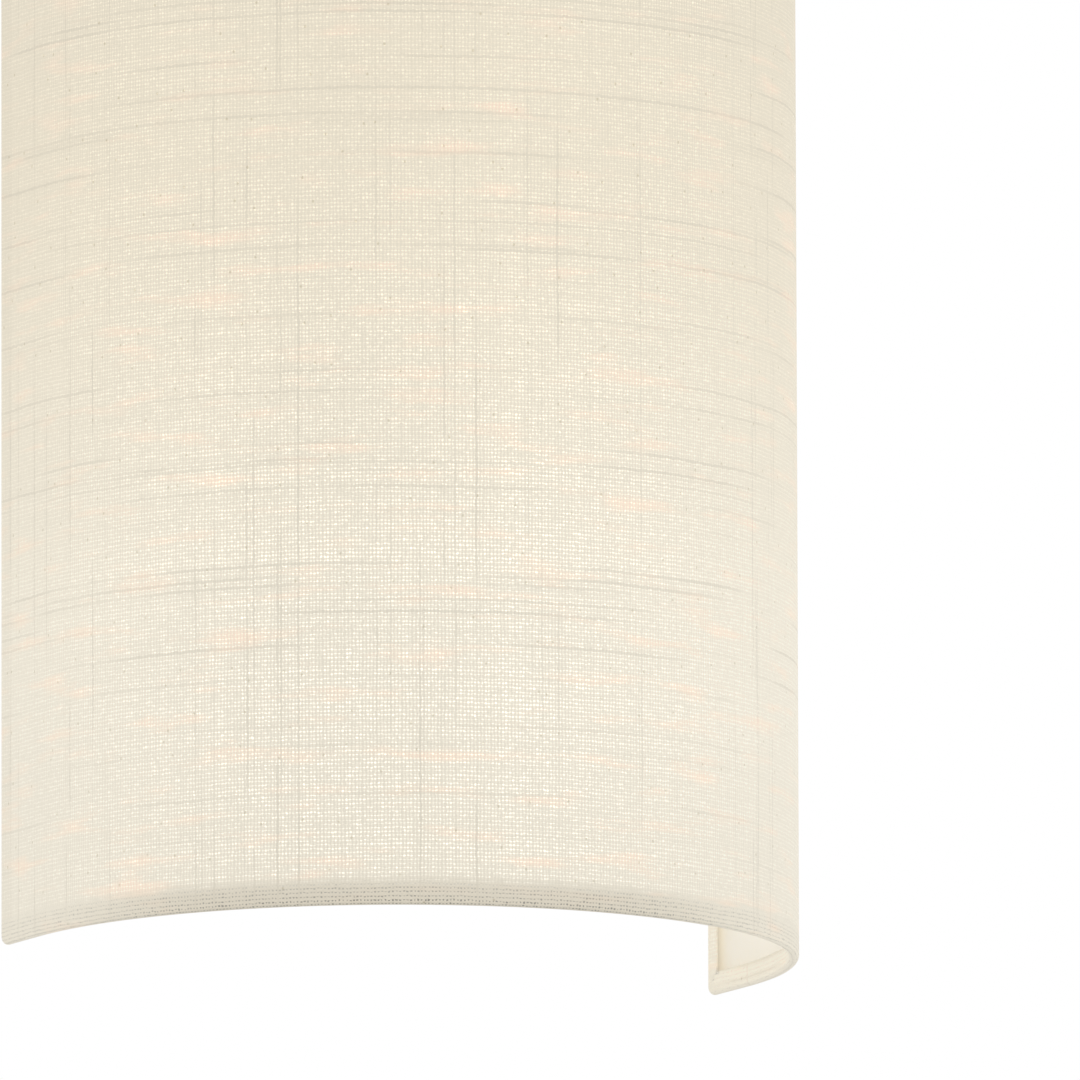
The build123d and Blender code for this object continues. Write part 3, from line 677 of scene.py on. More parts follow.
class Bench:
    """Starts, shapes and finishes a mesh with operators."""

    def __init__(self, name: str) -> None:
        """Takes the primitive that was just added.

        Args:
            name: The new piece's name.
        """
        self.piece = bpy.context.active_object
        self.piece.name = name
        self.piece.data.name = name

    @staticmethod
    def clear() -> None:
        """Deselects everything, the CAD nodes included."""
        bpy.ops.object.select_all(action="DESELECT")

    def take(self) -> None:
        """Makes the piece the one that operators act on."""
        Bench.clear()
        self.piece.select_set(True)
        bpy.context.view_layer.objects.active = self.piece

    def settle(self) -> None:
        """Puts the piece's place, turn and scale into its mesh."""
        self.take()
        bpy.ops.object.transform_apply(location=True, rotation=True, scale=True)

    def pick(self, test: Callable[[Vector], bool], kind: str = "VERT") -> None:
        """Selects in edit mode what a test of its centre accepts.

        Args:
            test: Says yes or no to a point.
            kind: VERT or FACE.
        """
        bpy.ops.object.mode_set(mode="EDIT")
        bpy.ops.mesh.select_mode(type=kind)
        bpy.ops.mesh.select_all(action="DESELECT")
        shape = bmesh.from_edit_mesh(self.piece.data)
        for element in shape.faces if kind == "FACE" else shape.verts:
            centre = element.calc_center_median() if kind == "FACE" else element.co
            element.select_set(test(centre))
        shape.select_flush_mode()
        bmesh.update_edit_mesh(self.piece.data)

    def pull(self, offset: Sequence[float]) -> None:
        """Extrudes the selection by an offset."""
        bpy.ops.mesh.extrude_region_move(TRANSFORM_OT_translate={"value": tuple(offset)})

    def resize(self, scale: Sequence[float], centre: Sequence[float]) -> None:
        """Scales the selection about a centre."""
        bpy.ops.transform.resize(value=tuple(scale), center_override=tuple(centre))

    def grow(self, centre: Vector, radius: float, rings: Rings) -> None:
        """Extrudes the selected ring through further rings.

        Args:
            centre: The ring's middle.
            radius: The ring's radius.
            rings: The new rings.
        """
        for wanted, height in rings:
            new_radius = max(wanted, NOTHING)
            self.pull((0, 0, height - centre.z))
            centre = Vector((centre.x, centre.y, height))
            self.resize((new_radius / radius, new_radius / radius, 0.0), centre)
            radius = new_radius

    def close_in(self, centre: Vector, rings: Rings) -> None:
        """Continues the round open end about a centre through further rings.

        Args:
            centre: The end's middle.
            rings: The new rings.
        """
        self.pick(lambda p: abs(p.z - centre.z) < TOUCH)
        shape = bmesh.from_edit_mesh(self.piece.data)
        rim = [v.co - centre for v in shape.verts if v.select]
        radius = sum(math.hypot(p.x, p.y) for p in rim) / len(rim)
        self.grow(centre, radius, rings)
        bpy.ops.mesh.select_all(action="DESELECT")

    def cut(self, at: Sequence[float], normal: Sequence[float]) -> None:
        """Bisects the whole mesh and clears what lies on the side that the normal points to."""
        bpy.ops.mesh.select_all(action="SELECT")
        bpy.ops.mesh.bisect(plane_co=tuple(at), plane_no=tuple(normal), clear_outer=True, threshold=TOUCH)

    @staticmethod
    def turned(name: str, rings: Rings, steps: int) -> "Bench":
        """Turns a closed solid about the Z axis.

        Args:
            name: The new piece's name.
            rings: Its rings, from the first end to the last.
            steps: Sides of the round.

        Returns:
            The piece, in object mode.
        """
        Bench.clear()
        radius, height = rings[0]
        spot = (0, 0, height)
        bpy.ops.mesh.primitive_circle_add(vertices=steps, radius=radius, fill_type="NGON", location=spot)
        bench = Bench(name)
        bench.settle()
        bpy.ops.object.mode_set(mode="EDIT")
        bpy.ops.mesh.select_all(action="SELECT")
        bench.grow(Vector(spot), radius, rings[1:])
        bench.out()
        return bench

    def stand(self, spot: Sequence[float], direction: Sequence[float]) -> None:
        """Turns the piece's Z axis to a direction and moves its origin to a spot.

        Args:
            spot: Where its origin goes.
            direction: Where its Z axis points afterwards.
        """
        self.piece.rotation_euler = Vector(direction).to_track_quat("Z", "Y").to_euler()
        self.piece.location = spot
        self.settle()

    def carve(self, spot: Sequence[float], size: Sequence[float]) -> None:
        """Cuts a box out of the piece.

        Args:
            spot: The box's middle.
            size: Its three sides.
        """
        Bench.clear()
        bpy.ops.mesh.primitive_cube_add(size=1.0, location=tuple(spot))
        cutter = bpy.context.active_object
        cutter.scale = tuple(size)
        self.modify("BOOLEAN", object=cutter, operation="DIFFERENCE", solver="EXACT")
        bpy.data.objects.remove(cutter)

    @staticmethod
    def joined(name: str, benches: "Sequence[Bench]") -> "Bench":
        """Joins several pieces into one.

        Args:
            name: The joined piece's name.
            benches: The pieces.

        Returns:
            The joined piece.
        """
        Bench.clear()
        for bench in benches:
            bench.piece.select_set(True)
        bpy.context.view_layer.objects.active = benches[0].piece
        bpy.ops.object.join()
        return Bench(name)

    def out(self) -> None:
        """Leaves edit mode."""
        bpy.ops.object.mode_set(mode="OBJECT")

    def modify(self, kind: str, **settings: object) -> None:
        """Adds a modifier and applies it.

        Args:
            kind: The modifier's type.
            settings: Its settings.
        """
        self.take()
        modifier = self.piece.modifiers.new(kind.title(), kind)
        for key, value in settings.items():
            setattr(modifier, key, value)
        bpy.ops.object.modifier_apply(modifier=modifier.name)

    def tidy(self, merge: float = TOUCH, angle: float = 35.0) -> bpy.types.Object:
        """Merges doubles, turns faces outwards and shades smooth up to an angle.

        Args:
            merge: The distance within which points are one.
            angle: The sharpest smooth edge, in degrees.

        Returns:
            The finished piece.
        """
        self.take()
        bpy.ops.object.mode_set(mode="EDIT")
        bpy.ops.mesh.select_all(action="SELECT")
        bpy.ops.mesh.remove_doubles(threshold=merge)
        bpy.ops.mesh.normals_make_consistent(inside=False)
        self.out()
        bpy.ops.object.shade_smooth_by_angle(angle=math.radians(angle))
        return self.piece


def extent(node: str) -> tuple[Vector, Vector, Vector, float]:
    """Both corners of a CAD node's box, its middle and half its width."""
    low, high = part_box(node)
    return low, high, (low + high) / 2, (high.x - low.x) / 2


def added(name: str, data: bpy.types.ID) -> bpy.types.Object:
    """A new object in the scene.

    Args:
        name: The object's name.
        data: Its mesh, camera or light.

    Returns:
        The object.
    """
    made = bpy.data.objects.new(name, data)
    bpy.context.scene.collection.objects.link(made)
    return made


def dress(piece: bpy.types.Object, finish: Finish) -> None:
    """Gives a piece one finish in place of what it has."""
    piece.data.materials.clear()
    piece.data.materials.append(finish.material())


def place(
    piece: bpy.types.Object, finish: Finish, body: str, slot: str, stands_for: Sequence[str] = ()
) -> None:
    """Dresses a new piece, hangs it on its body and hides the CAD nodes that it stands for.

    Args:
        piece: The new piece.
        finish: Its finish.
        body: The CAD body it moves with.
        slot: Not used.
        stands_for: The CAD nodes that it replaces.
    """
    dress(piece, finish)
    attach(piece, body)
    if stands_for:
        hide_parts(*stands_for)
    LOG.info("made %s on %s, %d faces", piece.name, body, len(piece.data.polygons))


def carry_over(nodes: Sequence[str], finish: Finish) -> None:
    """Gives CAD nodes that keep their shape a better finish.

    Args:
        nodes: The CAD nodes' names.
        finish: Their finish.
    """
    for name in nodes:
        dress(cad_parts[name], finish)
        LOG.info("dressed %s with %s", name, finish.name)


@dataclass(frozen=True)
class Thread:
    """A rolled screw thread round an upright axis."""

    crest: float
    root: float
    pitch: float
    steps: int = 48
    rows: int = 10

    def cut(self, name: str, axis: Vector, low: float, high: float, below: Rings, above: Rings) -> Bench:
        """Makes the threaded skin from low to high and continues both ends through rings.

        Args:
            name: The new piece's name.
            axis: A point on the thread's axis.
            low: Height of the lower end.
            high: Height of the upper end.
            below: The rings past the lower end.
            above: The rings past the upper end.

        Returns:
            The piece, in object mode.
        """
        Bench.clear()
        middle = (self.crest + self.root) / 2
        bpy.ops.mesh.primitive_grid_add(x_subdivisions=1, y_subdivisions=self.rows, size=self.pitch)
        bench = Bench(name)
        bench.pick(lambda p: p.x > 0)
        bpy.ops.mesh.delete(type="VERT")
        bench.out()
        start = low - self.pitch
        for point in bench.piece.data.vertices:
            turn = point.co.y / self.pitch * 2 * math.pi
            radius = middle + (self.crest - self.root) / 2 * math.cos(turn)
            point.co = (radius, 0.0, point.co.y)
        turns = math.ceil((high - start) / self.pitch) + 1
        bench.modify(
            "SCREW",
            axis="Z",
            angle=2 * math.pi,
            screw_offset=self.pitch,
            iterations=turns,
            steps=self.steps,
            render_steps=self.steps,
            use_merge_vertices=True,
        )
        bench.piece.location = (axis.x, axis.y, start)
        bench.settle()
        bpy.ops.object.mode_set(mode="EDIT")
        bpy.ops.mesh.select_all(action="SELECT")
        bpy.ops.mesh.remove_doubles(threshold=TOUCH)
        bench.cut((0, 0, high), (0, 0, 1))
        bench.cut((0, 0, low), (0, 0, -1))
        for height, rings in ((high, above), (low, below)):
            bench.close_in(Vector((axis.x, axis.y, height)), rings)
        bench.out()
        return bench


# ---- Sub-assemblies ----


@dataclass
class Shade:
    """Linen cover, liner and spot welds."""

    half_width: float = field(default_factory=lambda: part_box("linen_cover")[1].x)
    half_height: float = field(default_factory=lambda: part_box("linen_cover")[1].z)
    back: float = field(default_factory=lambda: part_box("linen_cover")[1].y)
    front: float = field(default_factory=lambda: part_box("linen_cover")[0].y)
    fabric: float = 0.3 * MM
    glue: float = 0.05 * MM
    liner: float = 0.3 * MM
    roll: float = 1.275 * MM
    flap: float = 4.2 * MM
    corner: float = 1.0 * MM
    notch_half: float = 1.6 * MM
    notch_turn: float = 1.9
    cell: float = 2.2 * MM
    arc_steps: int = 6
    roll_steps: int = 9
    flap_steps: int = 4
    ragged: float = 0.25 * MM
    ragged_length: float = 9 * MM
    bead: float = 1.0 * MM
    bead_shape: tuple[float, float, float] = (0.55, 0.5, 1.5)

    @property
    def round_y(self) -> float:
        """Where the straight sides end and the round front begins."""
        return self.front + self.half_width

    @property
    def half_length(self) -> float:
        """Cloth from the middle of the front to the axis of a rolled back edge."""
        return self.half_width * math.pi / 2 + (self.back - self.roll - self.round_y)

    @property
    def half_rise(self) -> float:
        """Cloth from the middle to the axis of a rolled rim."""
        return self.half_height - self.roll

    def at(self, along: float, up: float, depth: float) -> Vector:
        """A point of the shade's wall.

        Args:
            along: Cloth length from the middle of the front.
            up: Height.
            depth: Distance in from the outer face.

        Returns:
            The point.
        """
        turn = max(-math.pi / 2, min(math.pi / 2, along / self.half_width))
        straight = max(0.0, abs(along) - self.half_width * math.pi / 2)
        radius = self.half_width - depth
        return Vector((radius * math.sin(turn), self.round_y - radius * math.cos(turn) + straight, up))

    def lines(self, half: float, extra: Sequence[float]) -> list[float]:
        """Even grid lines from -half to half, with some extra ones that keep clear of the rest.

        Args:
            half: Where the last line is.
            extra: Places of the extra lines.

        Returns:
            All lines, in order.
        """
        count = round(2 * half / self.cell)
        even = [half * (2 * k / count - 1) for k in range(count + 1)]
        clear = self.cell / 3
        kept = [v for v in even if all(abs(v - e) > clear for e in extra) or abs(v) > half - NOTHING]
        return sorted(kept + list(extra))

    def edge(self, lines: tuple[list[float], list[float]]) -> list[tuple[float, float, float, float]]:
        """The flat cloth's outline between its rolled edges: place and outward direction of each point.

        Args:
            lines: The grid's lines along the cloth and up it.

        Returns:
            Place along and up, and the outward direction along and up, of each point.
        """
        s_end, z_end = self.half_length, self.half_rise
        s_in, z_in = s_end - self.corner, z_end - self.corner
        along, up = lines
        ring = [(s_end, z, 1.0, 0.0) for z in up]
        sides = [
            (s_in, z_in, 0, [(s, z_end, 0.0, 1.0) for s in reversed(along)]),
            (-s_in, z_in, 1, [(-s_end, z, -1.0, 0.0) for z in reversed(up)]),
            (-s_in, -z_in, 2, [(s, -z_end, 0.0, -1.0) for s in along]),
            (s_in, -z_in, 3, []),
        ]
        for s, z, quarter, side in sides:
            for k in range(1, self.arc_steps):
                turn = (quarter + k / self.arc_steps) * math.pi / 2
                c, q = math.cos(turn), math.sin(turn)
                ring.append((s + c * self.corner, z + q * self.corner, c, q))
            ring += side
        return ring

    def cloth(self, wires: Sequence[float]) -> bpy.types.Object:
        """Linen: flat wall, rolled edges and the flap glued down inside, notched for the cross wires.

        Args:
            wires: Heights of the cross wires.

        Returns:
            The cloth, with its own map in metres.
        """
        notches = [z + d for z in wires for d in (-self.notch_half, 0.0, self.notch_half)]
        along = self.lines(self.half_length - self.corner, [])
        up = self.lines(self.half_rise - self.corner, notches)
        shape = bmesh.new()
        flat = shape.verts.layers.float_vector.new("flat")
        depth_of = {}

        def point(s: float, z: float, depth: float, s_flat: float, z_flat: float) -> bmesh.types.BMVert:
            """A new point of the shade's wall, with its place on the flat cloth.

            Args:
                s: Place along the wall.
                z: Height.
                depth: Distance in from the outer face.
                s_flat: Place along the flat cloth.
                z_flat: Place up the flat cloth.

            Returns:
                The point.
            """
            vert = shape.verts.new(self.at(s, z, depth))
            vert[flat] = (s_flat, z_flat, 0.0)
            depth_of[vert] = depth
            return vert

        grid = [[point(s, z, 0.0, s, z) for s in along] for z in up]
        ring = self.edge((along, up))
        loops = [[point(s, z, 0.0, s, z) for s, z, _, _ in ring]]
        for k in range(1, self.roll_steps + 1):
            turn = math.pi * k / self.roll_steps
            out, arc = self.roll * math.sin(turn), self.roll * turn
            depth = self.roll * (1 - math.cos(turn))
            spots = [(s + a * out, z + b * out, depth, s + a * arc, z + b * arc) for s, z, a, b in ring]
            loops.append([point(*spot) for spot in spots])
        for k in range(1, self.flap_steps + 1):
            loops.append([self.flap_point(point, *spot, k / self.flap_steps) for spot in ring])
        self.join_faces(shape, grid, loops)
        turned_in = self.roll * (1 - math.cos(self.notch_turn))
        gone = [f for f in shape.faces if self.in_notch(f, depth_of, turned_in, wires)]
        bmesh.ops.delete(shape, geom=gone, context="FACES")
        return self.as_sheet(shape, flat)

    def flap_point(
        self, point: Callable, s: float, z: float, a: float, b: float, share: float
    ) -> bmesh.types.BMVert:
        """One point of the turned-in flap, whose cut edge is a little uneven.

        Args:
            point: Makes a point of the cloth.
            s: Place of the outline's point along the cloth.
            z: Its height.
            a: The outward direction's part along the cloth.
            b: The outward direction's part up it.
            share: How far across the flap the point is, from 0 to 1.

        Returns:
            The point.
        """
        spot = Vector((s / self.ragged_length, z / self.ragged_length, 0.5))
        reach = (self.flap + noise.noise(spot) * self.ragged) * share
        far = math.pi * self.roll + reach
        s_most, z_most = self.half_length - reach, self.half_rise - reach
        s_in = max(-s_most, min(s_most, s - a * reach))
        z_in = max(-z_most, min(z_most, z - b * reach))
        return point(s_in, z_in, 2 * self.roll, s + a * far, z + b * far)

    def join_faces(self, shape: bmesh.types.BMesh, grid: list, loops: list) -> None:
        """Fills the wall between its grid points, out to the outline, and round each loop to the flap.

        Args:
            shape: The cloth.
            grid: The wall's points, row by row.
            loops: The outline and each loop after it, to the flap's cut edge.
        """
        for low, high in zip(grid, grid[1:]):
            for k in range(len(low) - 1):
                shape.faces.new((low[k], low[k + 1], high[k + 1], high[k]))
        rows, columns, arc = len(grid), len(grid[0]), self.arc_steps
        inner = [line[-1] for line in grid] + [grid[-1][-1]] * (arc - 1)
        inner += list(reversed(grid[-1])) + [grid[-1][0]] * (arc - 1)
        inner += [line[0] for line in reversed(grid)] + [grid[0][0]] * (arc - 1)
        inner += list(grid[0]) + [grid[0][-1]] * (arc - 1)
        assert len(inner) == len(loops[0]) == 2 * (rows + columns) + 4 * (arc - 1)
        for inside, outside in zip([inner, *loops], loops):
            for k in range(len(outside)):
                n = (k + 1) % len(outside)
                corners = dict.fromkeys((inside[k], outside[k], outside[n], inside[n]))
                shape.faces.new(list(corners))

    def in_notch(
        self, face: bmesh.types.BMFace, depths: dict, turned_in: float, wires: Sequence[float]
    ) -> bool:
        """Whether a face lies where a cross wire passes the turned-in edge.

        Args:
            face: The face.
            depths: Each point's distance in from the outer face.
            turned_in: Depth past which the notch is cut.
            wires: Heights of the cross wires.

        Returns:
            Whether the notch takes it away.
        """
        centre = face.calc_center_median()
        at_back = centre.y > self.back - 2 * self.roll - self.flap - MM
        deep = sum(depths[v] for v in face.verts) / len(face.verts) > turned_in
        return at_back and deep and any(abs(centre.z - z) < self.notch_half for z in wires)

    def as_sheet(self, shape: bmesh.types.BMesh, flat: bmesh.types.BMLayerItem) -> bpy.types.Object:
        """Makes the object, its map and its thickness.

        Args:
            shape: The cloth, freed here.
            flat: The layer with the places on the flat cloth.

        Returns:
            The cloth.
        """
        layer = shape.loops.layers.uv.new("weave")
        for face in shape.faces:
            face.smooth = True
            for loop in face.loops:
                loop[layer].uv = loop.vert[flat].xy
        bmesh.ops.remove_doubles(shape, verts=shape.verts, dist=NOTHING)
        bmesh.ops.dissolve_degenerate(shape, edges=shape.edges, dist=NOTHING)
        shape.verts.layers.float_vector.remove(flat)
        shape.normal_update()
        mesh = bpy.data.meshes.new("linen")
        shape.to_mesh(mesh)
        shape.free()
        cloth = added("linen", mesh)
        Bench.clear()
        bpy.context.view_layer.objects.active = cloth
        bench = Bench("linen")
        bench.modify("SOLIDIFY", thickness=self.fabric, offset=-1.0, use_rim=True)
        return cloth

    def backing(self) -> bpy.types.Object:
        """Liner sheet: an upright strip spun round the front and pulled back along both sides.

        Returns:
            The sheet.
        """
        outer = self.half_width - self.fabric - self.glue
        middle = outer - self.liner / 2
        Bench.clear()
        spot, upright = (middle, self.round_y, 0), (math.pi / 2, 0, 0)
        bpy.ops.mesh.primitive_plane_add(size=1.0, location=spot, rotation=upright)
        bench = Bench("liner_skin")
        bench.piece.scale = (self.liner, 2 * self.half_rise, 1.0)
        bench.settle()
        bench.pick(lambda p: True, "FACE")
        bpy.ops.mesh.spin(steps=120, angle=math.pi, center=(0, self.round_y, 0), axis=(0, 0, 1))
        for side in Side:
            bench.pick(lambda p: abs(p.y - self.round_y) < TOUCH and p.x * side.value > 0, "FACE")
            bench.pull((0, self.back - self.roll - self.round_y, 0))
        bench.out()
        return bench.tidy(angle=40.0)

    def weld(self, name: str, x: float, z: float) -> bpy.types.Object:
        """Spot weld where a cross wire meets its upright: a squashed, uneven bead.

        Args:
            name: The bead's name.
            x: Where it is along the wall.
            z: The cross wire's height.

        Returns:
            The bead.
        """
        Bench.clear()
        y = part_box("upper_cross_wire")[1].y - 0.5 * self.bead
        bpy.ops.mesh.primitive_ico_sphere_add(subdivisions=3, radius=self.bead, location=(x, y, z))
        bench = Bench(name)
        bench.piece.scale = self.bead_shape
        bench.settle()
        bench.pick(lambda p: p.z > z + 0.3 * self.bead)
        bench.resize((0.8, 0.8, 1.0), (x, y, z))
        bpy.ops.mesh.select_all(action="SELECT")
        seed = round(abs(z) / MM)
        bpy.ops.transform.vertex_random(offset=0.03 * self.bead, uniform=0.4, seed=seed)
        bench.out()
        return bench.tidy(angle=80.0)

    def build(self) -> None:
        """Makes and dresses the cover, the liner and the welds."""
        names = ("upper_cross_wire", "lower_cross_wire")
        wires = {name: sum(corner.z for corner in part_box(name)) / 2 for name in names}
        linen = self.cloth(list(wires.values()))
        hem = self.flap + self.roll
        finish = Linen("linen_weave", self.half_length / MM, self.half_height / MM, hem / MM)
        place(linen, finish, "shade", "linen", ["linen_cover"])
        turned = 2 * (math.pi * self.roll + self.flap)
        cut = (2 * self.half_length + turned, 2 * self.half_rise + turned)
        lamp = extent("bulb_globe")[2]
        place(self.backing(), LinerSheet("liner_sheet", lamp), "shade", "liner", ["styrene_liner"])
        for name, z in wires.items():
            for side in Side:
                x = side.value * (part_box("right_upright")[0].x - 0.1 * MM)
                bead = self.weld(f"weld_{name.split('_')[0]}_{side.name.lower()}", x, z)
                place(bead, WELD, "shade", "wire")


@dataclass
class Lamp:
    """Cap and globe of the screw-in lamp."""

    pitch: float = 3.62 * MM
    thread_depth: float = 0.95 * MM
    collar: float = 3.2 * MM
    shoulder: float = 3.0 * MM
    wall: float = 0.3 * MM
    step: float = 4.0 * MM

    def cap(self) -> bpy.types.Object:
        """Screw cap: plain collar, rolled thread and a shoulder up to the insulator.

        Returns:
            The cap.
        """
        low, high, axis, crest = extent("bulb_cap")
        root = crest - self.thread_depth
        thread = Thread(crest - 0.02 * MM, root, self.pitch)
        bottom, top = low.z + self.collar, high.z - self.shoulder
        neck, skirt = crest - self.step, root + 0.35 * MM
        above = [(root + 0.2 * MM, top + 0.4 * MM), (neck, high.z), (neck - self.wall, high.z)]
        below = [(skirt, bottom - 0.5 * MM), (skirt, low.z), (skirt - self.wall, low.z)]
        return thread.cut("lamp_cap_thread", axis, bottom, top, below, above).tidy(angle=50.0)

    def build(self) -> None:
        """Makes the cap and dresses the globe."""
        place(self.cap(), CAP_METAL, "bulb", "lamp_cap", ["bulb_cap"])
        low, _, middle, radius = extent("bulb_globe")
        centre = Vector((middle.x, middle.y, low.z + radius))
        carry_over(["bulb_globe"], Opal("opal_globe", centre, radius))


@dataclass
class Lampholder:
    """Threaded shell of the lampholder, and its hollow nipple."""

    shell_pitch: float = 3.62 * MM
    shell_wall: float = 0.35 * MM
    shell_depth: float = 0.75 * MM
    shell_flare: float = 1.4 * MM
    shell_lip: float = 0.6 * MM
    shell_hole_r: float = 8.5 * MM
    nipple_pitch: float = 1.0 * MM
    nipple_wall: float = 1.3 * MM
    nipple_depth: float = 0.45 * MM
    nipple_edge: float = 0.3 * MM

    def shell(self) -> bpy.types.Object:
        """Rolled brass shell whose inside takes the lamp's thread.

        Returns:
            The shell.
        """
        low, high, axis, outer = extent("holder_shell")
        root = outer - 0.1 * MM
        thread = Thread(root, root - self.shell_depth, self.shell_pitch)
        bottom, top = low.z + self.shell_flare, high.z - self.shell_lip
        above = [(root - MM, high.z), (self.shell_hole_r, high.z)]
        below = [(root - 0.3 * MM, low.z + 0.5 * MM), (root + 0.1 * MM, low.z)]
        bench = thread.cut("holder_shell_thread", axis, bottom, top, below, above)
        bench.tidy(angle=50.0)
        bench.modify("SOLIDIFY", thickness=self.shell_wall, offset=-1.0)
        return bench.piece

    def nipple(self) -> bpy.types.Object:
        """Hollow tube, threaded outside from end to end.

        Returns:
            The nipple.
        """
        low, high, axis, outer = extent("nipple")
        bore, chamfer = outer - self.nipple_wall, outer - 0.55 * MM
        thread = Thread(outer, outer - self.nipple_depth, self.nipple_pitch, 32, 4)
        bottom, top = low.z + self.nipple_edge, high.z - self.nipple_edge
        above = [(chamfer, high.z), (bore, high.z), (bore, low.z), (chamfer, low.z)]
        bench = thread.cut("nipple_thread", axis, bottom, top, [(chamfer, low.z)], above)
        return bench.tidy(merge=0.02 * MM, angle=30.0)

    def build(self) -> None:
        """Makes and dresses the shell and the nipple."""
        place(self.shell(), BRASS, "wall_unit", "brass", ["holder_shell"])
        place(self.nipple(), THREAD_ZINC, "wall_unit", "zinc_thread", ["nipple"])


@dataclass
class WallUnit:
    """Rivets, screws and earth stud of the wall unit."""

    head_r: float = 3.2 * MM
    head_t: float = 1.2 * MM
    shank_r: float = 1.55 * MM
    tail_r: float = 2.55 * MM
    screw_r: float = 2.0 * MM
    screw_head_r: float = 4.0 * MM
    screw_head_t: float = 2.6 * MM
    screw_length: float = 9.0 * MM
    screw_pitch: float = 0.7 * MM
    slot: float = 1.0 * MM

    def rivet(self, x: float, z: float, front: float, back: float) -> Bench:
        """Blind rivet: flange, dome with the dimple of its pulled pin, shank and upset tail.

        Args:
            x: Its place along the wall.
            z: Its height.
            front: Depth of the head's crown.
            back: Depth of the tail's end.

        Returns:
            The rivet.
        """
        length = back - front
        r, t, tail_r = self.head_r, self.head_t, self.tail_r
        tail = [(tail_r * 0.7, 0.0), (tail_r, 0.25 * t), (tail_r, 0.8 * t), (tail_r * 0.9, t)]
        flange = length - t
        shank = [(self.shank_r, t), (self.shank_r, flange)]
        outline = [(1.0, 0.0), (1.0, 0.2), (0.93, 0.48), (0.76, 0.78), (0.52, 0.96)]
        dome = [(share * r, flange + rise * t) for share, rise in outline]
        dimple = [(0.33 * r, length), (0.28 * r, length - 0.1 * t), (0.2 * r, flange)]
        bench = Bench.turned("rivet", [*tail, *shank, *dome, *dimple], 32)
        bench.stand((x, back, z), (0, -1, 0))
        return bench

    def rivets(self, node: str, across: bool) -> bpy.types.Object:
        """The rivets that stand for one CAD node.

        Args:
            node: The CAD node.
            across: Whether they lie in two columns and not in one.

        Returns:
            All of them as one piece.
        """
        low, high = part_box(node)
        columns = [low.x + self.head_r, high.x - self.head_r] if across else [(low.x + high.x) / 2]
        rows = [low.z + self.head_r, high.z - self.head_r]
        made = [self.rivet(x, z, low.y, high.y) for x in columns for z in rows]
        return Bench.joined(node.replace("rivets", "rivet_set"), made).tidy(angle=40.0)

    def screw(self, name: str) -> Bench:
        """Screw that stands on its thread: rolled thread, domed head and slot.

        Args:
            name: The new piece's name.

        Returns:
            The screw, with the seat of its head at height 0.
        """
        r, t = self.screw_head_r, self.screw_head_t
        thread = Thread(self.screw_r, 0.82 * self.screw_r, self.screw_pitch, 24, 4)
        tip, neck = -self.screw_length + 0.5 * MM, -1.6 * MM
        turns = [math.radians(a) for a in range(0, 90, 12)]
        dome = [(math.cos(a) * r, (0.3 + 0.7 * math.sin(a)) * t) for a in turns]
        shank = 0.9 * self.screw_r
        head = [(shank, neck + 0.2 * MM), (shank, 0.0), (r, 0.0), *dome, (0.0, t)]
        end = [(0.6 * self.screw_r, -self.screw_length), (0.0, -self.screw_length)]
        bench = thread.cut(name, Vector(), tip, neck, end, head)
        bench.tidy(merge=0.01 * MM)
        bench.carve((0, 0, t), (3 * r, self.slot, t))
        return bench

    def screws(self) -> bpy.types.Object:
        """The screws in the canopy's top and bottom, each slot at its own angle.

        Returns:
            Both screws as one piece.
        """
        x, y, _ = extent("canopy_screws")[2]
        made = []
        for turn, side in ((0.4, 1), (1.3, -1)):
            bench = self.screw("screw")
            bench.piece.rotation_euler.z = turn
            bench.settle()
            bench.stand((x, y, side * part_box("canopy")[1].z), (0, 0, side))
            made.append(bench)
        return Bench.joined("canopy_screw_set", made).tidy(angle=32.0)

    def stud(self) -> bpy.types.Object:
        """Earth stud inside the canopy, threaded from under its nut to the chamfered end.

        Returns:
            The stud.
        """
        low, high, middle, radius = extent("earth_stud")
        length = high.y - low.y
        thread = Thread(radius, 0.84 * radius, self.screw_pitch, 32, 5)
        start, end = 1.6 * MM, length - 0.4 * MM
        above = [(0.78 * radius, length), (0.0, length)]
        below = [(0.92 * radius, start - 0.2 * MM), (0.92 * radius, 0.0), (0.0, 0.0)]
        bench = thread.cut("earth_stud_thread", Vector(), start, end, below, above)
        bench.stand((middle.x, low.y, middle.z), (0, 1, 0))
        return bench.tidy(merge=0.01 * MM)

    def build(self) -> None:
        """Makes and dresses the fasteners."""
        for node, across in (("hook_rivets", True), ("arm_rivets", False)):
            place(self.rivets(node, across), RIVET, "wall_unit", "rivet", [node])
        place(self.screws(), SCREW_STEEL, "wall_unit", "screw_steel", ["canopy_screws"])
        place(self.stud(), SCREW_STEEL, "wall_unit", "screw_steel", ["earth_stud"])


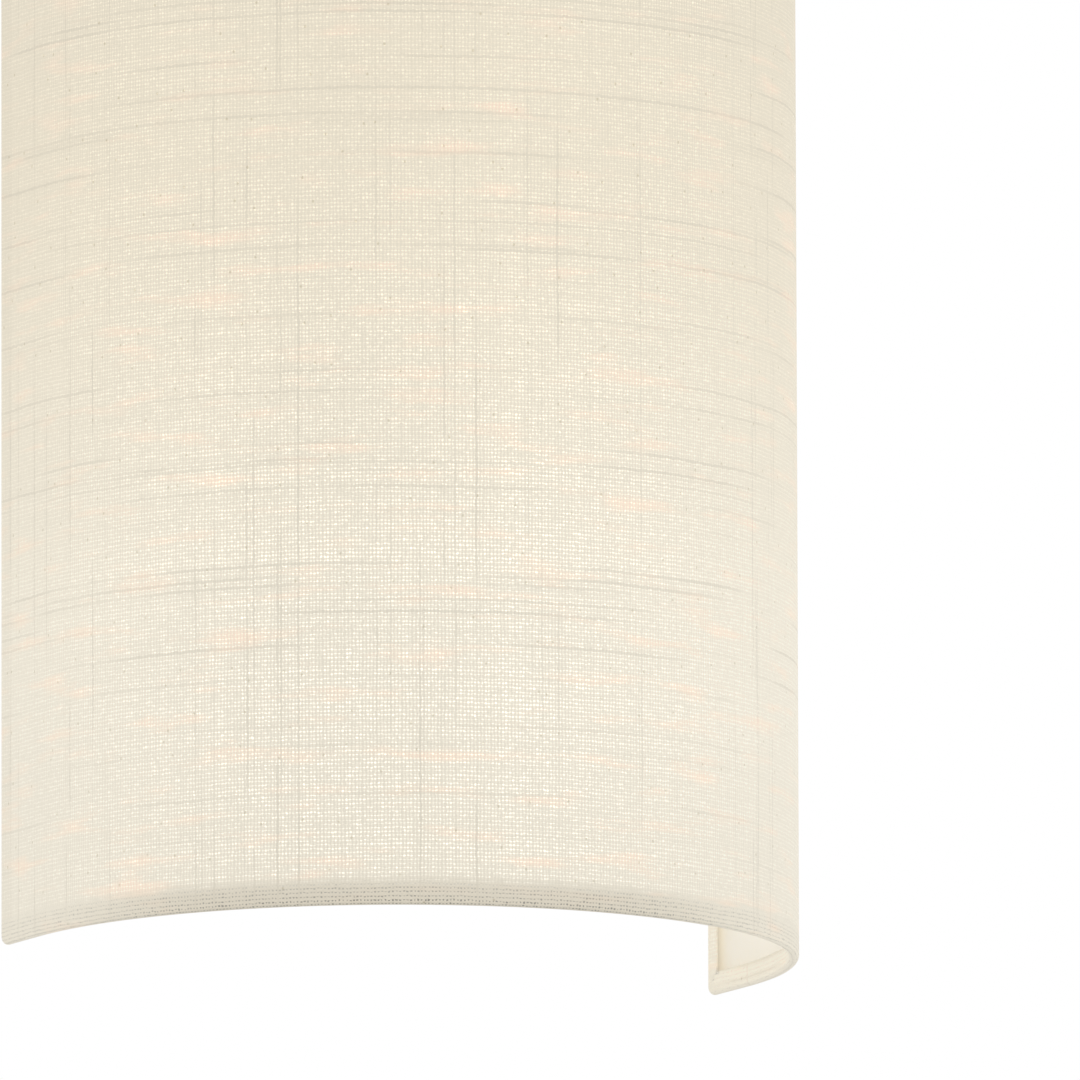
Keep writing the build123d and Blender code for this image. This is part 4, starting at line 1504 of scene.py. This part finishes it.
@dataclass
class Studio:
    """Camera, lights, pale floor and white surroundings."""

    azimuth: float = -27.78
    elevation: float = -8.84
    roll: float = -0.158
    distance: float = 8.0
    aim: Vector = field(default_factory=lambda: Vector((0.0198, -0.060, -0.0486)))
    lens: float = 1079.0
    floor_z: float = -4.0
    floor_side: float = 60.0
    ambient: float = 0.71

    def back(self) -> Vector:
        """The direction from the aim to the camera."""
        a, e = math.radians(self.azimuth), math.radians(self.elevation)
        return Vector((math.sin(a) * math.cos(e), -math.cos(a) * math.cos(e), math.sin(e)))

    def camera(self) -> None:
        """Sets the camera where the photograph was taken from."""
        data = bpy.data.cameras.new("camera")
        data.lens = self.lens
        data.sensor_width = 36.0
        data.clip_start = 0.1
        data.clip_end = 100.0
        camera = added("camera", data)
        facing = (-self.back()).to_track_quat("-Z", "Y").to_matrix()
        turn = facing @ Matrix.Rotation(math.radians(self.roll), 3, "Z")
        camera.matrix_world = Matrix.Translation(self.aim + self.back() * self.distance) @ turn.to_4x4()
        bpy.context.scene.camera = camera

    def lamp(self, name: str, spot: Sequence[float], size: float, power: float, tone: Colour) -> None:
        """Adds one soft square lamp that faces the object.

        Args:
            name: The lamp's name.
            spot: Where it stands.
            size: Its side.
            power: Its power in watts.
            tone: Its colour.
        """
        data = bpy.data.lights.new(name, "AREA")
        data.size = size
        data.energy = power
        data.color = tone
        made = added(name, data)
        made.location = spot
        made.rotation_euler = (-Vector(spot)).to_track_quat("-Z", "Y").to_euler()

    def seen(self, tree: Tree) -> Value:
        """1 for rays that show the surroundings, and 0 for rays that light the object.

        Args:
            tree: The tree that gets the nodes.

        Returns:
            The value.
        """
        made = tree.node("ShaderNodeLightPath").socket.node
        ways = [Value(tree, made.outputs[f"Is {way} Ray"]) for way in ("Camera", "Glossy", "Transmission")]
        return ways[0].most(ways[1]).most(ways[2])

    def surroundings(self) -> None:
        """White where it is seen, and a plain soft light on the object."""
        world = bpy.data.worlds.new("surroundings")
        world.use_nodes = True
        bpy.context.scene.world = world
        tree = Tree(world.node_tree)
        background = world.node_tree.nodes["Background"]
        background.inputs["Color"].default_value = (1.0, 1.0, 1.0, 1.0)
        tree.feed(background.inputs["Strength"], self.seen(tree) * (1.0 - self.ambient) + self.ambient)

    def floor(self) -> None:
        """A pale floor, far below the light."""
        Bench.clear()
        bpy.ops.mesh.primitive_plane_add(size=self.floor_side, location=(0, 0, self.floor_z))
        bench = Bench("floor")
        bench.settle()
        paint = Paint("pale_floor")
        mottle = paint.cloud(paint.space(), 400.0, 2.0) * 0.01
        paint.set(base_color=paint.tint((0.9, 0.9, 0.89), mottle + 1.0), roughness=0.8)
        glow = paint.node("ShaderNodeEmission", None, {"Color": (1.0, 1.0, 1.0), "Strength": 1.0})
        plain = Value(paint, paint.surface.outputs[0])
        both = paint.node("ShaderNodeMixShader", None, {0: self.seen(paint), 1: plain, 2: glow})
        paint.feed(paint.nodes.nodes["Material Output"].inputs["Surface"], both)
        bench.piece.data.materials.append(paint.material)

    def build(self) -> None:
        """Sets up the whole studio."""
        bpy.context.scene.view_settings.view_transform = "Standard"
        self.camera()
        self.surroundings()
        self.floor()
        self.lamp("key", (-2.2, -1.7, 1.0), 1.8, 18.0, (1.0, 0.985, 0.96))
        self.lamp("fill", (2.2, -1.8, 0.3), 1.8, 14.0, (0.98, 0.99, 1.0))
        self.lamp("rear", (0.8, 2.6, 1.4), 1.6, 10.0, (1.0, 1.0, 1.0))


# ---- Finishes of this light ----

WIRE_TONES = (colour(186, 188, 190), colour(138, 140, 142))
RIM_WIRE = Metal("rim_wire_zinc", *WIRE_TONES, 0.36, Grain.DRAWN, Axis.X)
UPRIGHT_WIRE = Metal("upright_wire_zinc", *WIRE_TONES, 0.36, Grain.DRAWN, Axis.Z)
CROSS_TONES = (colour(192, 194, 196), colour(140, 142, 145))
CROSS_WIRE = Metal("cross_wire_zinc", *CROSS_TONES, 0.32, Grain.DRAWN, Axis.X)
WELD = Metal("weld_bead", colour(150, 148, 144), colour(92, 88, 84), 0.5)
CAP_METAL = Metal("lamp_cap_nickel", colour(206, 204, 196), colour(160, 156, 146), 0.24, Grain.TURNED)
SOLDER = Metal("contact_solder", colour(190, 190, 188), colour(140, 138, 134), 0.34)
STRAP_ZINC = Metal("strap_zinc", colour(188, 192, 196), colour(146, 148, 150), 0.34, Grain.ROLLED, Axis.Z)
HOOK_ZINC = Metal("hook_zinc", colour(190, 193, 196), colour(148, 150, 152), 0.33, Grain.ROLLED, Axis.X)
SCREW_STEEL = Metal("screw_steel", colour(190, 192, 195), colour(136, 138, 142), 0.28, Grain.TURNED)
RIVET = Metal("rivet_aluminium", colour(204, 205, 206), colour(160, 161, 162), 0.38)
THREAD_ZINC = Metal("thread_zinc", colour(198, 194, 176), colour(150, 146, 130), 0.32)
BRASS = Metal("shell_brass", colour(214, 184, 120), colour(150, 118, 72), 0.28, Grain.TURNED)
TINNED = Metal("tinned_copper", colour(200, 196, 190), colour(158, 150, 142), 0.34)
BOARD = Metal("board_aluminium", colour(206, 207, 208), colour(170, 171, 172), 0.42)
POWDER_COAT = Coat("white_powder_coat", colour(236, 234, 228), colour(218, 215, 206))
HOLDER_PLASTIC = Moulding("holder_plastic", colour(232, 229, 220), colour(214, 209, 197), 0.36)
LAMP_HOUSING = Moulding("lamp_housing", colour(238, 237, 232), colour(222, 220, 213), 0.38)
BLOCK_PLASTIC = Moulding("block_polyamide", colour(226, 222, 208), colour(206, 200, 184), 0.4)
RUBBER = Moulding("bush_rubber", colour(38, 38, 39), colour(70, 69, 67), 0.6, 0.35)
GLASS_BEAD = Glaze("insulator_glass", colour(24, 22, 26), colour(54, 50, 56))
PORCELAIN = Glaze("porcelain", colour(234, 232, 226), colour(190, 184, 172))
BROWN = Insulation("brown_sleeve", colour(98, 62, 42))
BLUE = Insulation("blue_sleeve", colour(40, 96, 170))
GREEN_YELLOW = Insulation("green_yellow_sleeve", colour(44, 132, 66), colour(228, 206, 52))

# CAD nodes that keep their shape, under their finish
CARRIED = {
    RIM_WIRE: ["bottom_wire", "top_wire"],
    UPRIGHT_WIRE: ["left_upright", "right_upright"],
    CROSS_WIRE: ["upper_cross_wire", "lower_cross_wire"],
    LAMP_HOUSING: ["bulb_housing"],
    GLASS_BEAD: ["bulb_insulator"],
    SOLDER: ["bulb_contact"],
    BOARD: ["bulb_board"],
    THREAD_ZINC: ["nipple_nut", "nipple_washer"],
    HOLDER_PLASTIC: ["holder_cap", "holder_skirt"],
    PORCELAIN: ["holder_core"],
    BRASS: ["holder_contact", "holder_terminals"],
    POWDER_COAT: ["canopy", "lamp_arm"],
    STRAP_ZINC: ["wall_strap"],
    HOOK_ZINC: [f"hook_{level}_{side.name.lower()}" for level in ("upper", "lower") for side in Side],
    SCREW_STEEL: ["terminal_screws", "block_screw", "earth_nut"],
    BLOCK_PLASTIC: ["terminal_block"],
    BROWN: ["live_lead"],
    BLUE: ["neutral_lead"],
    GREEN_YELLOW: ["earth_lead"],
    RUBBER: ["lead_grommet"],
    TINNED: ["earth_tag"],
}


def main() -> None:
    """Builds the light and its studio."""
    logging.basicConfig(level=logging.INFO, format="%(message)s")
    for assembly in (Studio(), Shade(), Lamp(), Lampholder(), WallUnit()):
        LOG.info("building %s", type(assembly).__name__)
        assembly.build()
    for finish, nodes in CARRIED.items():
        carry_over(nodes, finish)
    bpy.context.view_layer.update()


if __name__ == "__main__":
    main()
